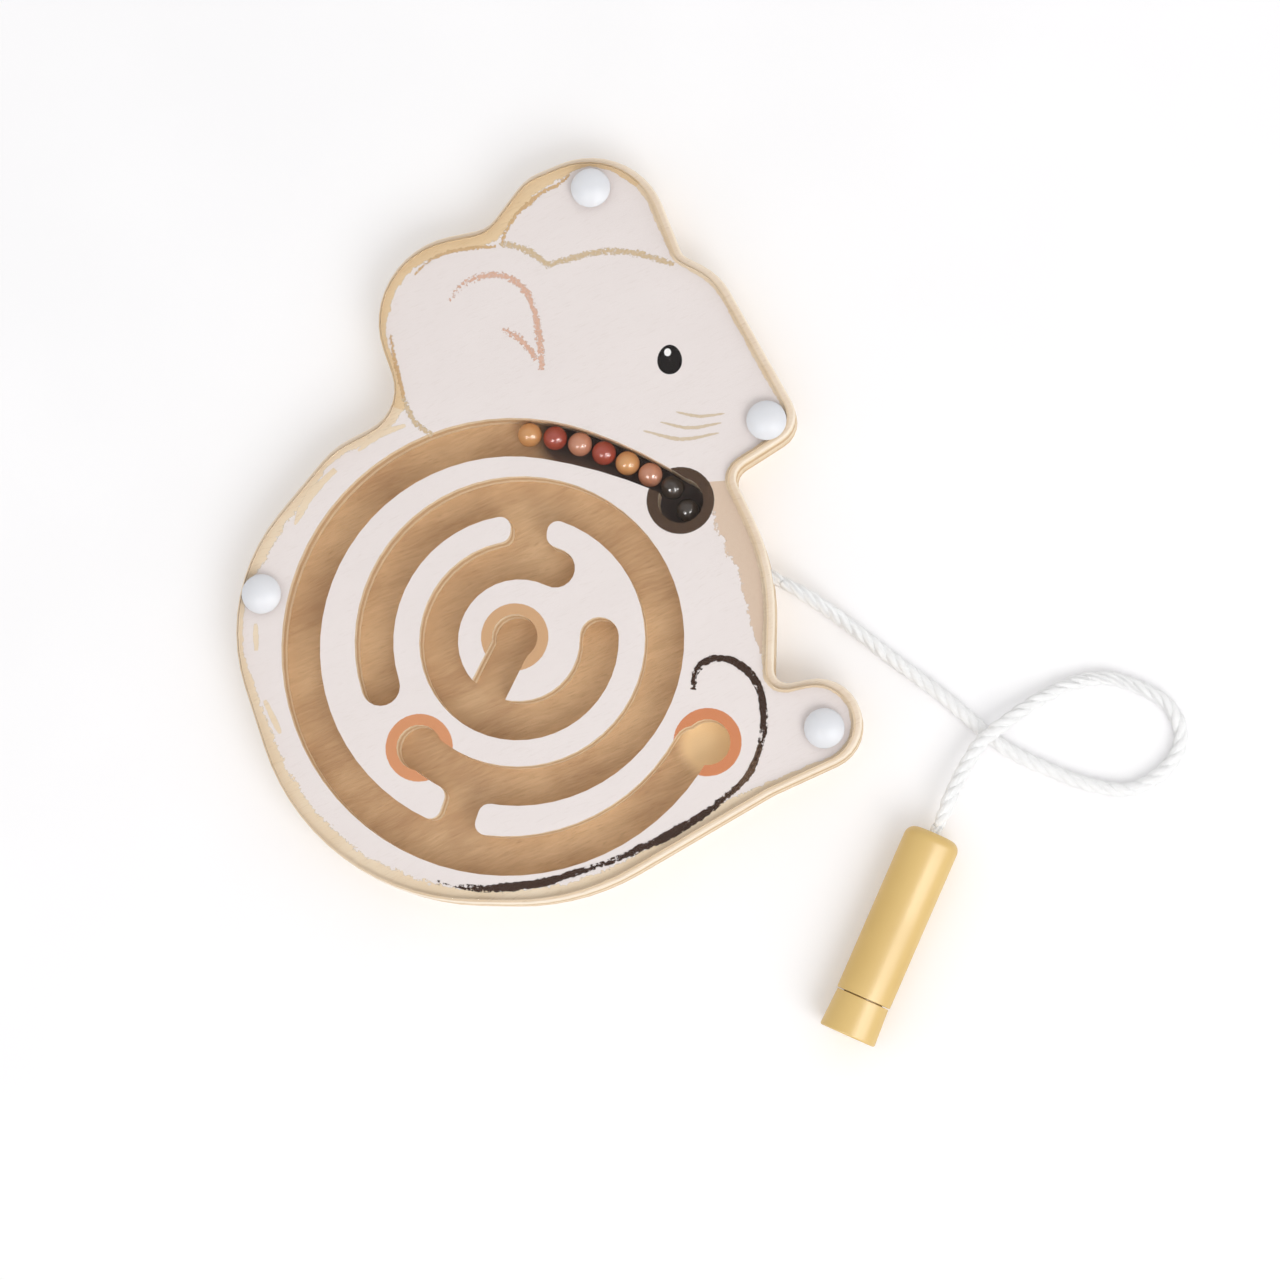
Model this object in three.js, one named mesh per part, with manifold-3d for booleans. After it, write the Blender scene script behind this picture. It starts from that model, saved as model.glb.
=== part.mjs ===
// Mouse-shaped ball maze with a magnet wand on a cord, in millimetres, +Z up.
// The board lies flat, print upwards. The origin is the centre of the inner maze rings,
// on the underside of the base board.

import * as THREE from 'three';
import { mergeVertices } from 'three/addons/utils/BufferGeometryUtils.js';
import Module from 'manifold-3d';

const wasm = await Module();
wasm.setup();

// Facets: the most that a chord may leave its arc, and the sides of small round holes and pieces
const CHORD_SAG = 0.06;
const HOLE_SIDES = 20;
const ROUND_SIDES = 24;
const TURN_SLACK = 60;

// Board stack, from below: base board, maze board, clear cover
const BASE_THICKNESS = 4;
const MAZE_THICKNESS = 8;
const COVER_THICKNESS = 1.5;
const EDGE_ROUND = 0.8;
const EDGE_ROUND_STEPS = 3;
const COVER_INSET = 1.4;
const COVER_DRIFT_X = -0.6;
const COVER_DRIFT_Y = -0.4;

// Mouse outline: a belt drawn tight, clockwise, round these discs.
// A hollow disc lies outside the board and bends the outline inwards.
const OUTLINE = [
  { part: 'ear crown', x: 8.8, y: 105.8, radius: 12.2 },
  { part: 'front ear', x: 17, y: 101.1, radius: 19.6 },
  { part: 'brow notch', x: 42.7, y: 97.6, radius: 3.1, hollow: true },
  { part: 'brow', x: 37.2, y: 78, radius: 16.8 },
  { part: 'nose', x: 60.9, y: 54.9, radius: 7 },
  { part: 'chin notch', x: 57.3, y: 39.5, radius: 4.1, hollow: true },
  { part: 'chest', x: 8.4, y: 6.4, radius: 54.3 },
  { part: 'foot notch', x: 65.7, y: -7.7, radius: 3.4, hollow: true },
  { part: 'foot', x: 72.9, y: -20.8, radius: 10.8 },
  { part: 'heel hollow', x: 68.8, y: -51.5, radius: 15.5, hollow: true },
  { part: 'belly', x: -0.4, y: -5.6, radius: 58.9 },
  { part: 'rump', x: -9.2, y: -7.5, radius: 56.8 },
  { part: 'back', x: -25.2, y: 3.7, radius: 45.2 },
  { part: 'shoulder', x: -33.1, y: 31.8, radius: 21.2 },
  { part: 'neck hollow', x: -42.6, y: 63.2, radius: 11.1, hollow: true },
  { part: 'back ear', x: -14.1, y: 80.3, radius: 21.5 },
  { part: 'ear notch', x: -12.6, y: 110.1, radius: 7.5, hollow: true },
];

// Ring maze: lanes of one width on three rings, the outer one off centre. Angles are in degrees.
const LANE_WIDTH = 9.6;
const POCKET_RADIUS = 5.6;
const OUTER_X = -2.4;
const OUTER_Y = -1.2;
const INNER_RADIUS = 19.8;
const INNER_WALL = 6.4;
const OUTER_WALL = 6.2;
const MIDDLE_RADIUS = INNER_RADIUS + LANE_WIDTH + INNER_WALL;
const OUTER_RADIUS = MIDDLE_RADIUS + LANE_WIDTH + OUTER_WALL;

// The outer lane leaves the start pocket on a flatter bend that widens and runs into the ring:
// each wall of the bend has its own radius and the angle at which it meets the ring
const BEND_RADIUS = 107;
const BEND_MEETS_RING = 70;
const BEND_SWEEP = 15;
const BEND_INNER_RADIUS = 122;
const BEND_INNER_MEETS_RING = 80;
const START_POCKET_INWARD = 0.5;
const OUTER_END = 331;
const RIGHT_POCKET_OUTWARD = 2.7;
const RIGHT_POCKET_ANGLE = 333.5;
const MIDDLE_START = 227;
const MIDDLE_END = 558;
const INNER_START = 63;
const INNER_END = 362;
const CENTRE_POCKET_X = -1;
const CENTRE_POCKET_Y = 0.8;
const CENTRE_LANE_ANGLE = 240;

// Gates through the ring walls, with rounded wall ends
const GATE_WIDTH = 9;
const GATE_FILLET = 2.7;
const OUTER_GATE_ANGLE = 251;
const INNER_GATE_ANGLE = 85;

// Snap rivets: a domed cap with a hollow shank from above, a flat-headed pin from below
const RIVETS = [
  { place: 'ear', x: 17.6, y: 112.4 },
  { place: 'nose', x: 60.9, y: 53.3 },
  { place: 'back', x: -63.7, y: 12 },
  { place: 'foot', x: 74.6, y: -22.4 },
];
const CAP_DIAMETER = 9.8;
const CAP_HEIGHT = 2.7;
const CAP_RIM = 0.6;
const CAP_STEPS = 5;
const SHANK_DIAMETER = 4;
const SHANK_BORE = 2.6;
const PIN_HEAD_DIAMETER = 6.6;
const PIN_HEAD_THICKNESS = 1.2;
const PIN_RECESS = 0.4;
const FIT_CLEARANCE = 0.3;

// Balls wait in a row along the outer wall, the last one in the start pocket
const BALL_DIAMETER = 6;
const BALL_SPACING = 6.4;
const BALL_GAP = 0.3;
const BALL_FLOOR_GAP = 0.1;
const LAST_BALL_PAST_POCKET = 2.2;
const LAST_BALL_INWARD = 1.1;
const BALLS = [
  { name: 'ball_caramel_1', paint: 'caramel' },
  { name: 'ball_terracotta_1', paint: 'terracotta' },
  { name: 'ball_blush_1', paint: 'blush' },
  { name: 'ball_terracotta_2', paint: 'terracotta' },
  { name: 'ball_caramel_2', paint: 'caramel' },
  { name: 'ball_blush_2', paint: 'blush' },
  { name: 'ball_dark_1', paint: 'dark' },
  { name: 'ball_dark_2', paint: 'dark' },
];

// Magnet wand: lies on the table beside the board
const WAND_X = 100.9;
const WAND_Y = -47.7;
const WAND_HEADING = 246;
const WAND_LENGTH = 53;
const BARREL_DIAMETER = 13.8;
const BARREL_WALL = 1.8;
const BARREL_TOP = 2.4;
const SHOULDER_ROUND = 2.6;
const SHOULDER_STEPS = 4;
const TIP_LENGTH = 9.6;
const TIP_NECK_DIAMETER = 13.3;
const TIP_END_DIAMETER = 14.2;
const TIP_EDGE = 0.5;
const TIP_END_WALL = 1.6;
const SPIGOT_LENGTH = 6;
const MAGNET_DIAMETER = 7;
const MAGNET_LENGTH = 10;
const MAGNET_CHAMFER = 0.4;
const TABLE_GAP = 0.1;

// Cord: glued into a hole in the edge of the maze board, knotted inside the wand
const CORD_DIAMETER = 3;
const CORD_SIDES = 8;
const CORD_STEPS = 64;
const CORD_HOLE_BEARING = 9.7;
const CORD_HEADING = -29;
const CORD_HOLE_HEIGHT = 7.5;
const CORD_HOLE_DEPTH = 10;
const CORD_STANDOFF = 2.6;
const CORD_JOINT_GAP = 0.4;
const NECK_DIAMETER = 2.6;
const NECK_STANDOFF = 1.9;
const KNOT_DIAMETER = 7;
const KNOT_LENGTH = 6;
const DOME_STEPS = 3;

// Route of the free cord on the table, between its two ends
const CORD_ROUTE = [
  [68.8, 11.7, 7.3], [73, 9.1, 5.8], [77.5, 6.1, 3.6], [82.8, 2.1, 2.1], [88.5, -2.4, 1.6],
  [95, -7.4, 1.6], [102.2, -12.8, 1.6], [108, -17.8, 1.6], [112.8, -22.1, 1.6], [118.3, -26.4, 1.6],
  [127.9, -31.4, 1.6], [138.9, -35.6, 1.6], [148.6, -36.7, 1.6], [157.4, -31.2, 1.6], [160.6, -23.9, 1.6],
  [157.6, -16.3, 1.6], [150.5, -11.8, 1.6], [143, -9.5, 1.6], [134, -10.9, 1.8], [124.5, -16, 3.3],
  [117.2, -21.3, 4.9], [111.9, -25.9, 5.2], [106.3, -35.3, 6.3], [103.3, -42.3, 7.1],
];

// Heights that follow from the stack
const MAZE_TOP = BASE_THICKNESS + MAZE_THICKNESS;
const COVER_TOP = MAZE_TOP + COVER_THICKNESS;
const CUT_MARGIN = 1;

// Finishes
const PAINTS = { caramel: 0xd7a05f, terracotta: 0xaf4b41, blush: 0xc88c78, dark: 0x413a32 };
const birch = () => new THREE.MeshStandardMaterial({ color: 0xe8d0a6, roughness: 0.65 });
const printedBirch = () => new THREE.MeshStandardMaterial({ color: 0xe6dedc, roughness: 0.6 });
const acrylic = () =>
  new THREE.MeshStandardMaterial({ color: 0xffffff, roughness: 0.08, transparent: true, opacity: 0.2 });
const whitePlastic = () => new THREE.MeshStandardMaterial({ color: 0xeceef2, roughness: 0.3 });
const mustardPlastic = () => new THREE.MeshStandardMaterial({ color: 0xd9b36a, roughness: 0.45 });
const magnetNickel = () => new THREE.MeshStandardMaterial({ color: 0xb8babd, roughness: 0.25, metalness: 1 });
const cotton = () => new THREE.MeshStandardMaterial({ color: 0xf2f0ec, roughness: 0.95 });
const ballPaint = (paint) => new THREE.MeshStandardMaterial({ color: PAINTS[paint], roughness: 0.3 });

const radians = THREE.MathUtils.degToRad;
const heading = (degrees) => new THREE.Vector2(Math.cos(radians(degrees)), Math.sin(radians(degrees)));
const polar = (centre, radius, degrees) => heading(degrees).multiplyScalar(radius).add(centre);

// Solids and meshes

function toSolid(geometry) {
  const bare = geometry.clone();
  bare.deleteAttribute('normal');
  bare.deleteAttribute('uv');
  const shared = mergeVertices(bare, 1e-4);
  const corners = [];
  for (let i = 0; i < shared.index.count; i += 3) {
    const [a, b, c] = [0, 1, 2].map((k) => shared.index.getX(i + k));
    if (a !== b && b !== c && c !== a) corners.push(a, b, c);
  }
  return new wasm.Manifold(new wasm.Mesh({
    numProp: 3,
    vertProperties: new Float32Array(shared.attributes.position.array),
    triVerts: new Uint32Array(corners),
  }));
}

function toGeometry(solid) {
  const mesh = solid.getMesh();
  const geometry = new THREE.BufferGeometry();
  geometry.setAttribute('position', new THREE.BufferAttribute(mesh.vertProperties, 3));
  geometry.setIndex(new THREE.BufferAttribute(mesh.triVerts, 1));
  geometry.computeVertexNormals();
  return geometry;
}

function named(name, geometry, material) {
  const mesh = new THREE.Mesh(geometry, material);
  mesh.name = name;
  return mesh;
}

const join = (solids) => solids.reduce((all, solid) => all.add(solid));

// Points on an arc, close enough together for the chord sag
function arc(centre, radius, from, to) {
  const sweep = radians(to - from);
  const count = Math.max(2, Math.ceil(Math.abs(sweep) / (2 * Math.acos(1 - CHORD_SAG / Math.abs(radius)))));
  return Array.from({ length: count + 1 }, (_, i) => polar(centre, radius, from + ((to - from) * i) / count));
}

// Flat outline raised from one height to another
function prism(points, low, high) {
  const geometry = new THREE.ExtrudeGeometry(new THREE.Shape(points), { depth: high - low, bevelEnabled: false });
  return toSolid(geometry.translate(0, 0, low));
}

// Solid turned about Z from a profile of [radius, height]
function turned(profile, sides) {
  const points = profile.map(([radius, height]) => new THREE.Vector2(radius, height));
  const geometry = new THREE.LatheGeometry(points, sides).rotateX(Math.PI / 2);
  return toSolid(geometry);
}

function drill(x, y, diameter, low, high) {
  const geometry = new THREE.CylinderGeometry(diameter / 2, diameter / 2, high - low, HOLE_SIDES);
  return toSolid(geometry.rotateX(Math.PI / 2).translate(x, y, (low + high) / 2));
}

// Mouse outline, set in by a distance

function mouseOutline(inset) {
  const discs = OUTLINE.map((disc) => ({
    centre: new THREE.Vector2(disc.x, disc.y),
    reach: disc.hollow ? -(disc.radius + inset) : disc.radius - inset,
    plain: disc.hollow ? -disc.radius : disc.radius,
  }));
  // Bearing of the outward normal on each straight run from a disc to the next
  const bearings = discs.map((disc, i) => {
    const next = discs[(i + 1) % discs.length];
    const run = next.centre.clone().sub(disc.centre);
    const lean = Math.acos(THREE.MathUtils.clamp((disc.plain - next.plain) / run.length(), -1, 1));
    return THREE.MathUtils.radToDeg(run.angle() + lean);
  });
  const points = discs.flatMap((disc, i) => {
    const from = bearings[(i + discs.length - 1) % discs.length];
    const side = disc.reach > 0 ? -1 : 1;
    const turn = THREE.MathUtils.euclideanModulo(side * (bearings[i] - from) + TURN_SLACK, 360) - TURN_SLACK;
    const sweep = side * turn;
    const steps = arc(disc.centre, disc.plain, 0, sweep).length - 1;
    return Array.from({ length: steps + 1 }, (_, k) => polar(disc.centre, disc.reach, from + (sweep * k) / steps));
  });
  return points.reverse();
}

// Solid through outlines of equal count, given as { height, points } from below
function loft(levels) {
  const count = levels[0].points.length;
  const positions = levels.flatMap(({ height, points }) => points.flatMap((p) => [p.x, p.y, height]));
  const index = [];
  for (let level = 0; level + 1 < levels.length; level += 1) {
    for (let i = 0; i < count; i += 1) {
      const j = (i + 1) % count;
      const [a, b] = [level * count + i, level * count + j];
      index.push(a, b, b + count, a, b + count, a + count);
    }
  }
  const top = (levels.length - 1) * count;
  for (const [a, b, c] of THREE.ShapeUtils.triangulateShape(levels.at(-1).points, [])) {
    index.push(top + a, top + b, top + c);
  }
  for (const [a, b, c] of THREE.ShapeUtils.triangulateShape(levels[0].points, [])) {
    index.push(a, c, b);
  }
  const geometry = new THREE.BufferGeometry();
  geometry.setAttribute('position', new THREE.Float32BufferAttribute(positions, 3));
  geometry.setIndex(index);
  return toSolid(geometry);
}

// Levels of a sanded outer edge: the outline draws in as the height nears the face
function sandedEdge(face, inwards) {
  return Array.from({ length: EDGE_ROUND_STEPS + 1 }, (_, i) => {
    const angle = (Math.PI / 2) * (i / EDGE_ROUND_STEPS);
    return {
      height: face + inwards * EDGE_ROUND * (1 - Math.cos(Math.PI / 2 - angle)),
      points: mouseOutline(EDGE_ROUND * (1 - Math.sin(Math.PI / 2 - angle))),
    };
  });
}

// Maze channel

const RING_CENTRE = new THREE.Vector2(0, 0);
const OUTER_CENTRE = new THREE.Vector2(OUTER_X, OUTER_Y);
const BEND_CENTRE = polar(OUTER_CENTRE, OUTER_RADIUS - BEND_RADIUS, BEND_MEETS_RING);
const START_POCKET = polar(BEND_CENTRE, BEND_RADIUS - START_POCKET_INWARD, BEND_MEETS_RING - BEND_SWEEP);

function lane(centre, radius, from, to) {
  const half = LANE_WIDTH / 2;
  const startEnd = arc(polar(centre, radius, from), half, from + 180, from + 360);
  const stopEnd = arc(polar(centre, radius, to), half, to, to + 180);
  return prism(
    [
      ...startEnd.slice(0, -1),
      ...arc(centre, radius + half, from, to),
      ...stopEnd.slice(1, -1),
      ...arc(centre, radius - half, to, from),
    ].slice(0, -1),
    BASE_THICKNESS - CUT_MARGIN,
    MAZE_TOP + CUT_MARGIN,
  );
}

// Lane from the start pocket: outer wall along the bend and the ring, inner wall on its own flatter arc,
// which ends inside the pocket
function startLane() {
  const half = LANE_WIDTH / 2;
  const innerCentre = polar(OUTER_CENTRE, OUTER_RADIUS - half - BEND_INNER_RADIUS, BEND_INNER_MEETS_RING);
  const reach = START_POCKET.distanceTo(polar(innerCentre, BEND_INNER_RADIUS, BEND_INNER_MEETS_RING));
  const innerSweep = THREE.MathUtils.radToDeg(reach / BEND_INNER_RADIUS);
  return prism(
    [
      ...arc(BEND_CENTRE, BEND_RADIUS + half, BEND_MEETS_RING - BEND_SWEEP, BEND_MEETS_RING),
      ...arc(OUTER_CENTRE, OUTER_RADIUS + half, BEND_MEETS_RING, BEND_INNER_MEETS_RING).slice(1),
      ...arc(innerCentre, BEND_INNER_RADIUS, BEND_INNER_MEETS_RING, BEND_INNER_MEETS_RING - innerSweep),
    ],
    BASE_THICKNESS - CUT_MARGIN,
    MAZE_TOP + CUT_MARGIN,
  );
}

function pocket(centre) {
  return prism(arc(centre, POCKET_RADIUS, 0, 360).slice(0, -1), BASE_THICKNESS - CUT_MARGIN, MAZE_TOP + CUT_MARGIN);
}

// Straight lane from the centre pocket out to the inner ring
function centreLane(centre) {
  const half = LANE_WIDTH / 2;
  const far = polar(RING_CENTRE, INNER_RADIUS, CENTRE_LANE_ANGLE);
  const along = THREE.MathUtils.radToDeg(far.clone().sub(centre).angle());
  return prism(
    [...arc(far, half, along - 90, along + 90), ...arc(centre, half, along + 90, along + 270)].slice(0, -1),
    BASE_THICKNESS - CUT_MARGIN,
    MAZE_TOP + CUT_MARGIN,
  );
}

// Gate between the lane inside a wall and the lane outside it. Each side of the gate swings into both
// wall faces on a fillet whose centre lies in the wall.
function gate(angle, wallIn, wallOut) {
  const along = heading(angle);
  const across = new THREE.Vector2(-along.y, along.x);
  const sideways = GATE_WIDTH / 2 + GATE_FILLET;
  const filletCentre = (face, radius, side) => {
    const lift = face.centre.dot(along);
    const shift = side * sideways - face.centre.dot(across);
    return along.clone().multiplyScalar(lift + Math.sqrt(radius * radius - shift * shift))
      .addScaledVector(across, side * sideways);
  };
  const bearing = (from, to) => THREE.MathUtils.radToDeg(to.clone().sub(from).angle());
  const sidePoints = (side) => {
    const low = filletCentre(wallIn, wallIn.radius + GATE_FILLET, side);
    const high = filletCentre(wallOut, wallOut.radius - GATE_FILLET, side);
    const inwards = angle - side * 90;
    const nearest = (degrees) => inwards + THREE.MathUtils.euclideanModulo(degrees - inwards + 180, 360) - 180;
    return [
      polar(low, GATE_FILLET + LANE_WIDTH / 2, bearing(low, wallIn.centre)),
      ...arc(low, GATE_FILLET, nearest(bearing(low, wallIn.centre)), inwards),
      ...arc(high, GATE_FILLET, inwards, nearest(bearing(wallOut.centre, high))),
      polar(high, GATE_FILLET + LANE_WIDTH / 2, bearing(wallOut.centre, high)),
    ];
  };
  return prism([...sidePoints(-1), ...sidePoints(1).reverse()], BASE_THICKNESS - CUT_MARGIN, MAZE_TOP + CUT_MARGIN);
}

function mazeChannel() {
  const half = LANE_WIDTH / 2;
  const centrePocket = new THREE.Vector2(CENTRE_POCKET_X, CENTRE_POCKET_Y);
  return join([
    startLane(),
    lane(OUTER_CENTRE, OUTER_RADIUS, BEND_INNER_MEETS_RING, OUTER_END),
    lane(RING_CENTRE, MIDDLE_RADIUS, MIDDLE_START, MIDDLE_END),
    lane(RING_CENTRE, INNER_RADIUS, INNER_START, INNER_END),
    centreLane(centrePocket),
    gate(
      OUTER_GATE_ANGLE,
      { centre: RING_CENTRE, radius: MIDDLE_RADIUS + half },
      { centre: OUTER_CENTRE, radius: OUTER_RADIUS - half },
    ),
    gate(
      INNER_GATE_ANGLE,
      { centre: RING_CENTRE, radius: INNER_RADIUS + half },
      { centre: RING_CENTRE, radius: MIDDLE_RADIUS - half },
    ),
    pocket(START_POCKET),
    pocket(polar(OUTER_CENTRE, OUTER_RADIUS + RIGHT_POCKET_OUTWARD, RIGHT_POCKET_ANGLE)),
    pocket(polar(RING_CENTRE, MIDDLE_RADIUS, MIDDLE_START)),
    pocket(centrePocket),
  ]);
}

// Boards

const shankHole = SHANK_DIAMETER + 2 * FIT_CLEARANCE;
const recessDepth = PIN_RECESS + PIN_HEAD_THICKNESS;

function shankHoles(low, high) {
  return join(RIVETS.map(({ x, y }) => drill(x, y, shankHole, low - CUT_MARGIN, high + CUT_MARGIN)));
}

function baseBoard() {
  const blank = loft([...sandedEdge(0, 1).reverse(), { height: BASE_THICKNESS, points: mouseOutline(0) }]);
  const recesses = RIVETS.map(({ x, y }) =>
    drill(x, y, PIN_HEAD_DIAMETER + 2 * FIT_CLEARANCE, -CUT_MARGIN, recessDepth));
  return blank.subtract(shankHoles(0, BASE_THICKNESS)).subtract(join(recesses));
}

function mazeBoard() {
  const blank = loft([{ height: BASE_THICKNESS, points: mouseOutline(0) }, ...sandedEdge(MAZE_TOP, -1)]);
  return blank
    .subtract(mazeChannel())
    .subtract(shankHoles(BASE_THICKNESS, MAZE_TOP))
    .subtract(cordHole());
}

function clearCover() {
  const drift = new THREE.Vector2(COVER_DRIFT_X, COVER_DRIFT_Y);
  const outline = mouseOutline(COVER_INSET).map((point) => point.add(drift));
  const sheet = loft([{ height: MAZE_TOP, points: outline }, { height: COVER_TOP, points: outline }]);
  return sheet.subtract(shankHoles(MAZE_TOP, COVER_TOP));
}

// Rivets

function rivetCap() {
  const shank = SHANK_DIAMETER / 2;
  const bore = SHANK_BORE / 2;
  const shankEnd = recessDepth + FIT_CLEARANCE;
  const boreTop = COVER_TOP - (shank - bore);
  const dome = Array.from({ length: CAP_STEPS + 1 }, (_, i) => {
    const angle = (Math.PI / 2) * (i / CAP_STEPS);
    return [
      (CAP_DIAMETER / 2) * Math.sin(angle),
      COVER_TOP + CAP_RIM + (CAP_HEIGHT - CAP_RIM) * Math.cos(angle),
    ];
  });
  return turned(
    [...dome, [CAP_DIAMETER / 2, COVER_TOP], [shank, COVER_TOP], [shank, shankEnd], [bore, shankEnd],
      [bore, boreTop], [0, boreTop]].reverse(),
    ROUND_SIDES,
  );
}

function rivetPin() {
  const pin = SHANK_BORE / 2 - FIT_CLEARANCE;
  const pinTop = COVER_TOP - (SHANK_DIAMETER - SHANK_BORE) / 2 - FIT_CLEARANCE;
  const head = PIN_HEAD_DIAMETER / 2;
  return turned([[0, PIN_RECESS], [head, PIN_RECESS], [head, recessDepth], [pin, recessDepth], [pin, pinTop], [0, pinTop]],
    HOLE_SIDES);
}

// Balls: the last lies in the start pocket, the rest follow the outer wall of the bend and then of the ring

function ballPlaces() {
  const outward = LANE_WIDTH / 2 - BALL_DIAMETER / 2 - BALL_GAP;
  const bendTrack = BEND_RADIUS + outward;
  const ringTrack = OUTER_RADIUS + outward;
  const pocketAngle = BEND_MEETS_RING - BEND_SWEEP;
  const toDegrees = (length, radius) => THREE.MathUtils.radToDeg(length / radius);
  const last = polar(BEND_CENTRE, BEND_RADIUS - LAST_BALL_INWARD,
    pocketAngle - toDegrees(LAST_BALL_PAST_POCKET, BEND_RADIUS));
  const bendLength = radians(BEND_SWEEP) * bendTrack;
  const waiting = BALLS.slice(1).map((_, i) => {
    const travel = (i + 1) * BALL_SPACING - LAST_BALL_PAST_POCKET;
    if (travel < bendLength) return polar(BEND_CENTRE, bendTrack, pocketAngle + toDegrees(travel, bendTrack));
    return polar(OUTER_CENTRE, ringTrack, BEND_MEETS_RING + toDegrees(travel - bendLength, ringTrack));
  });
  return [last, ...waiting].reverse();
}

function ball(place) {
  const geometry = new THREE.SphereGeometry(BALL_DIAMETER / 2, 16, 10).rotateX(Math.PI / 2);
  return geometry.translate(place.x, place.y, BASE_THICKNESS + BALL_FLOOR_GAP + BALL_DIAMETER / 2);
}

// Wand, built along Z from its cord end and then laid down

const barrelEnd = WAND_LENGTH - TIP_LENGTH - FIT_CLEARANCE;
const barrelBore = BARREL_DIAMETER / 2 - BARREL_WALL;
const cordHoleDiameter = CORD_DIAMETER + 2 * FIT_CLEARANCE;

function wandBarrel() {
  const radius = BARREL_DIAMETER / 2;
  const hole = cordHoleDiameter / 2;
  const shoulder = Array.from({ length: SHOULDER_STEPS + 1 }, (_, i) => {
    const angle = (Math.PI / 2) * (i / SHOULDER_STEPS);
    return [
      radius - SHOULDER_ROUND * (1 - Math.sin(angle)),
      SHOULDER_ROUND * (1 - Math.cos(angle)),
    ];
  });
  return turned(
    [[hole, 0], ...shoulder, [radius, barrelEnd], [barrelBore, barrelEnd], [barrelBore, BARREL_TOP],
      [hole, BARREL_TOP], [hole, 0]],
    ROUND_SIDES,
  );
}

function wandTip() {
  const shoulder = WAND_LENGTH - TIP_LENGTH;
  const spigot = barrelBore - FIT_CLEARANCE;
  const pocketRadius = MAGNET_DIAMETER / 2 + FIT_CLEARANCE;
  const end = TIP_END_DIAMETER / 2;
  return turned(
    [[0, WAND_LENGTH - TIP_END_WALL], [pocketRadius, WAND_LENGTH - TIP_END_WALL],
      [pocketRadius, shoulder - SPIGOT_LENGTH], [spigot, shoulder - SPIGOT_LENGTH], [spigot, shoulder],
      [TIP_NECK_DIAMETER / 2, shoulder], [end, WAND_LENGTH - TIP_EDGE], [end - TIP_EDGE, WAND_LENGTH],
      [0, WAND_LENGTH]],
    ROUND_SIDES,
  );
}

function wandMagnet() {
  const radius = MAGNET_DIAMETER / 2;
  const far = WAND_LENGTH - TIP_END_WALL - FIT_CLEARANCE;
  const near = far - MAGNET_LENGTH;
  return turned(
    [[0, near], [radius - MAGNET_CHAMFER, near], [radius, near + MAGNET_CHAMFER], [radius, far - MAGNET_CHAMFER],
      [radius - MAGNET_CHAMFER, far], [0, far]],
    HOLE_SIDES,
  );
}

// Rounded end of a piece of cord, from its tip on the axis out to its full radius
function domedEnd(radius, tip, inwards) {
  return Array.from({ length: DOME_STEPS + 1 }, (_, i) => {
    const angle = (Math.PI / 2) * (i / DOME_STEPS);
    return [radius * Math.sin(angle), tip + inwards * radius * (1 - Math.cos(angle))];
  });
}

function cordKnot() {
  const top = BARREL_TOP + FIT_CLEARANCE;
  const neck = domedEnd(NECK_DIAMETER / 2, CORD_JOINT_GAP - NECK_STANDOFF, 1);
  const knot = KNOT_DIAMETER / 2;
  return turned(
    [...neck, [NECK_DIAMETER / 2, top], [0.8 * knot, top], [knot, top + KNOT_LENGTH / 4],
      [0.85 * knot, top + KNOT_LENGTH / 2], [knot, top + (3 * KNOT_LENGTH) / 4], [0.7 * knot, top + KNOT_LENGTH],
      [0, top + KNOT_LENGTH]],
    HOLE_SIDES,
  );
}

// Cord: hole in the chest edge, glued tail in it, free stretch on the table

const chest = OUTLINE.find((disc) => disc.part === 'chest');
const CORD_MOUTH = polar(new THREE.Vector2(chest.x, chest.y), chest.radius, CORD_HOLE_BEARING);
const CORD_START = polar(CORD_MOUTH, CORD_STANDOFF, CORD_HEADING);
const wandHeight = TIP_END_DIAMETER / 2 + TABLE_GAP;
const CORD_STOP = polar(new THREE.Vector2(WAND_X, WAND_Y), -NECK_STANDOFF, WAND_HEADING);

// Lays a solid of revolution, built along Z, at a place and heading on a level
function laidDown(solid, place, degrees, height) {
  const geometry = toGeometry(solid);
  return geometry.rotateY(Math.PI / 2).rotateZ(radians(degrees)).translate(place.x, place.y, height);
}

function cordHole() {
  const length = CORD_HOLE_DEPTH + CORD_STANDOFF + CUT_MARGIN;
  const cutter = turned(
    [[0, -CORD_HOLE_DEPTH], [cordHoleDiameter / 2, -CORD_HOLE_DEPTH],
      [cordHoleDiameter / 2, length - CORD_HOLE_DEPTH], [0, length - CORD_HOLE_DEPTH]],
    HOLE_SIDES,
  );
  return toSolid(laidDown(cutter, CORD_MOUTH, CORD_HEADING, CORD_HOLE_HEIGHT));
}

function cordTail() {
  const radius = NECK_DIAMETER / 2;
  const tip = CORD_STANDOFF - CORD_JOINT_GAP;
  const back = FIT_CLEARANCE - CORD_HOLE_DEPTH;
  return turned([[0, back], [radius, back], ...domedEnd(radius, tip, -1).reverse()], CORD_SIDES * 2);
}

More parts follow.
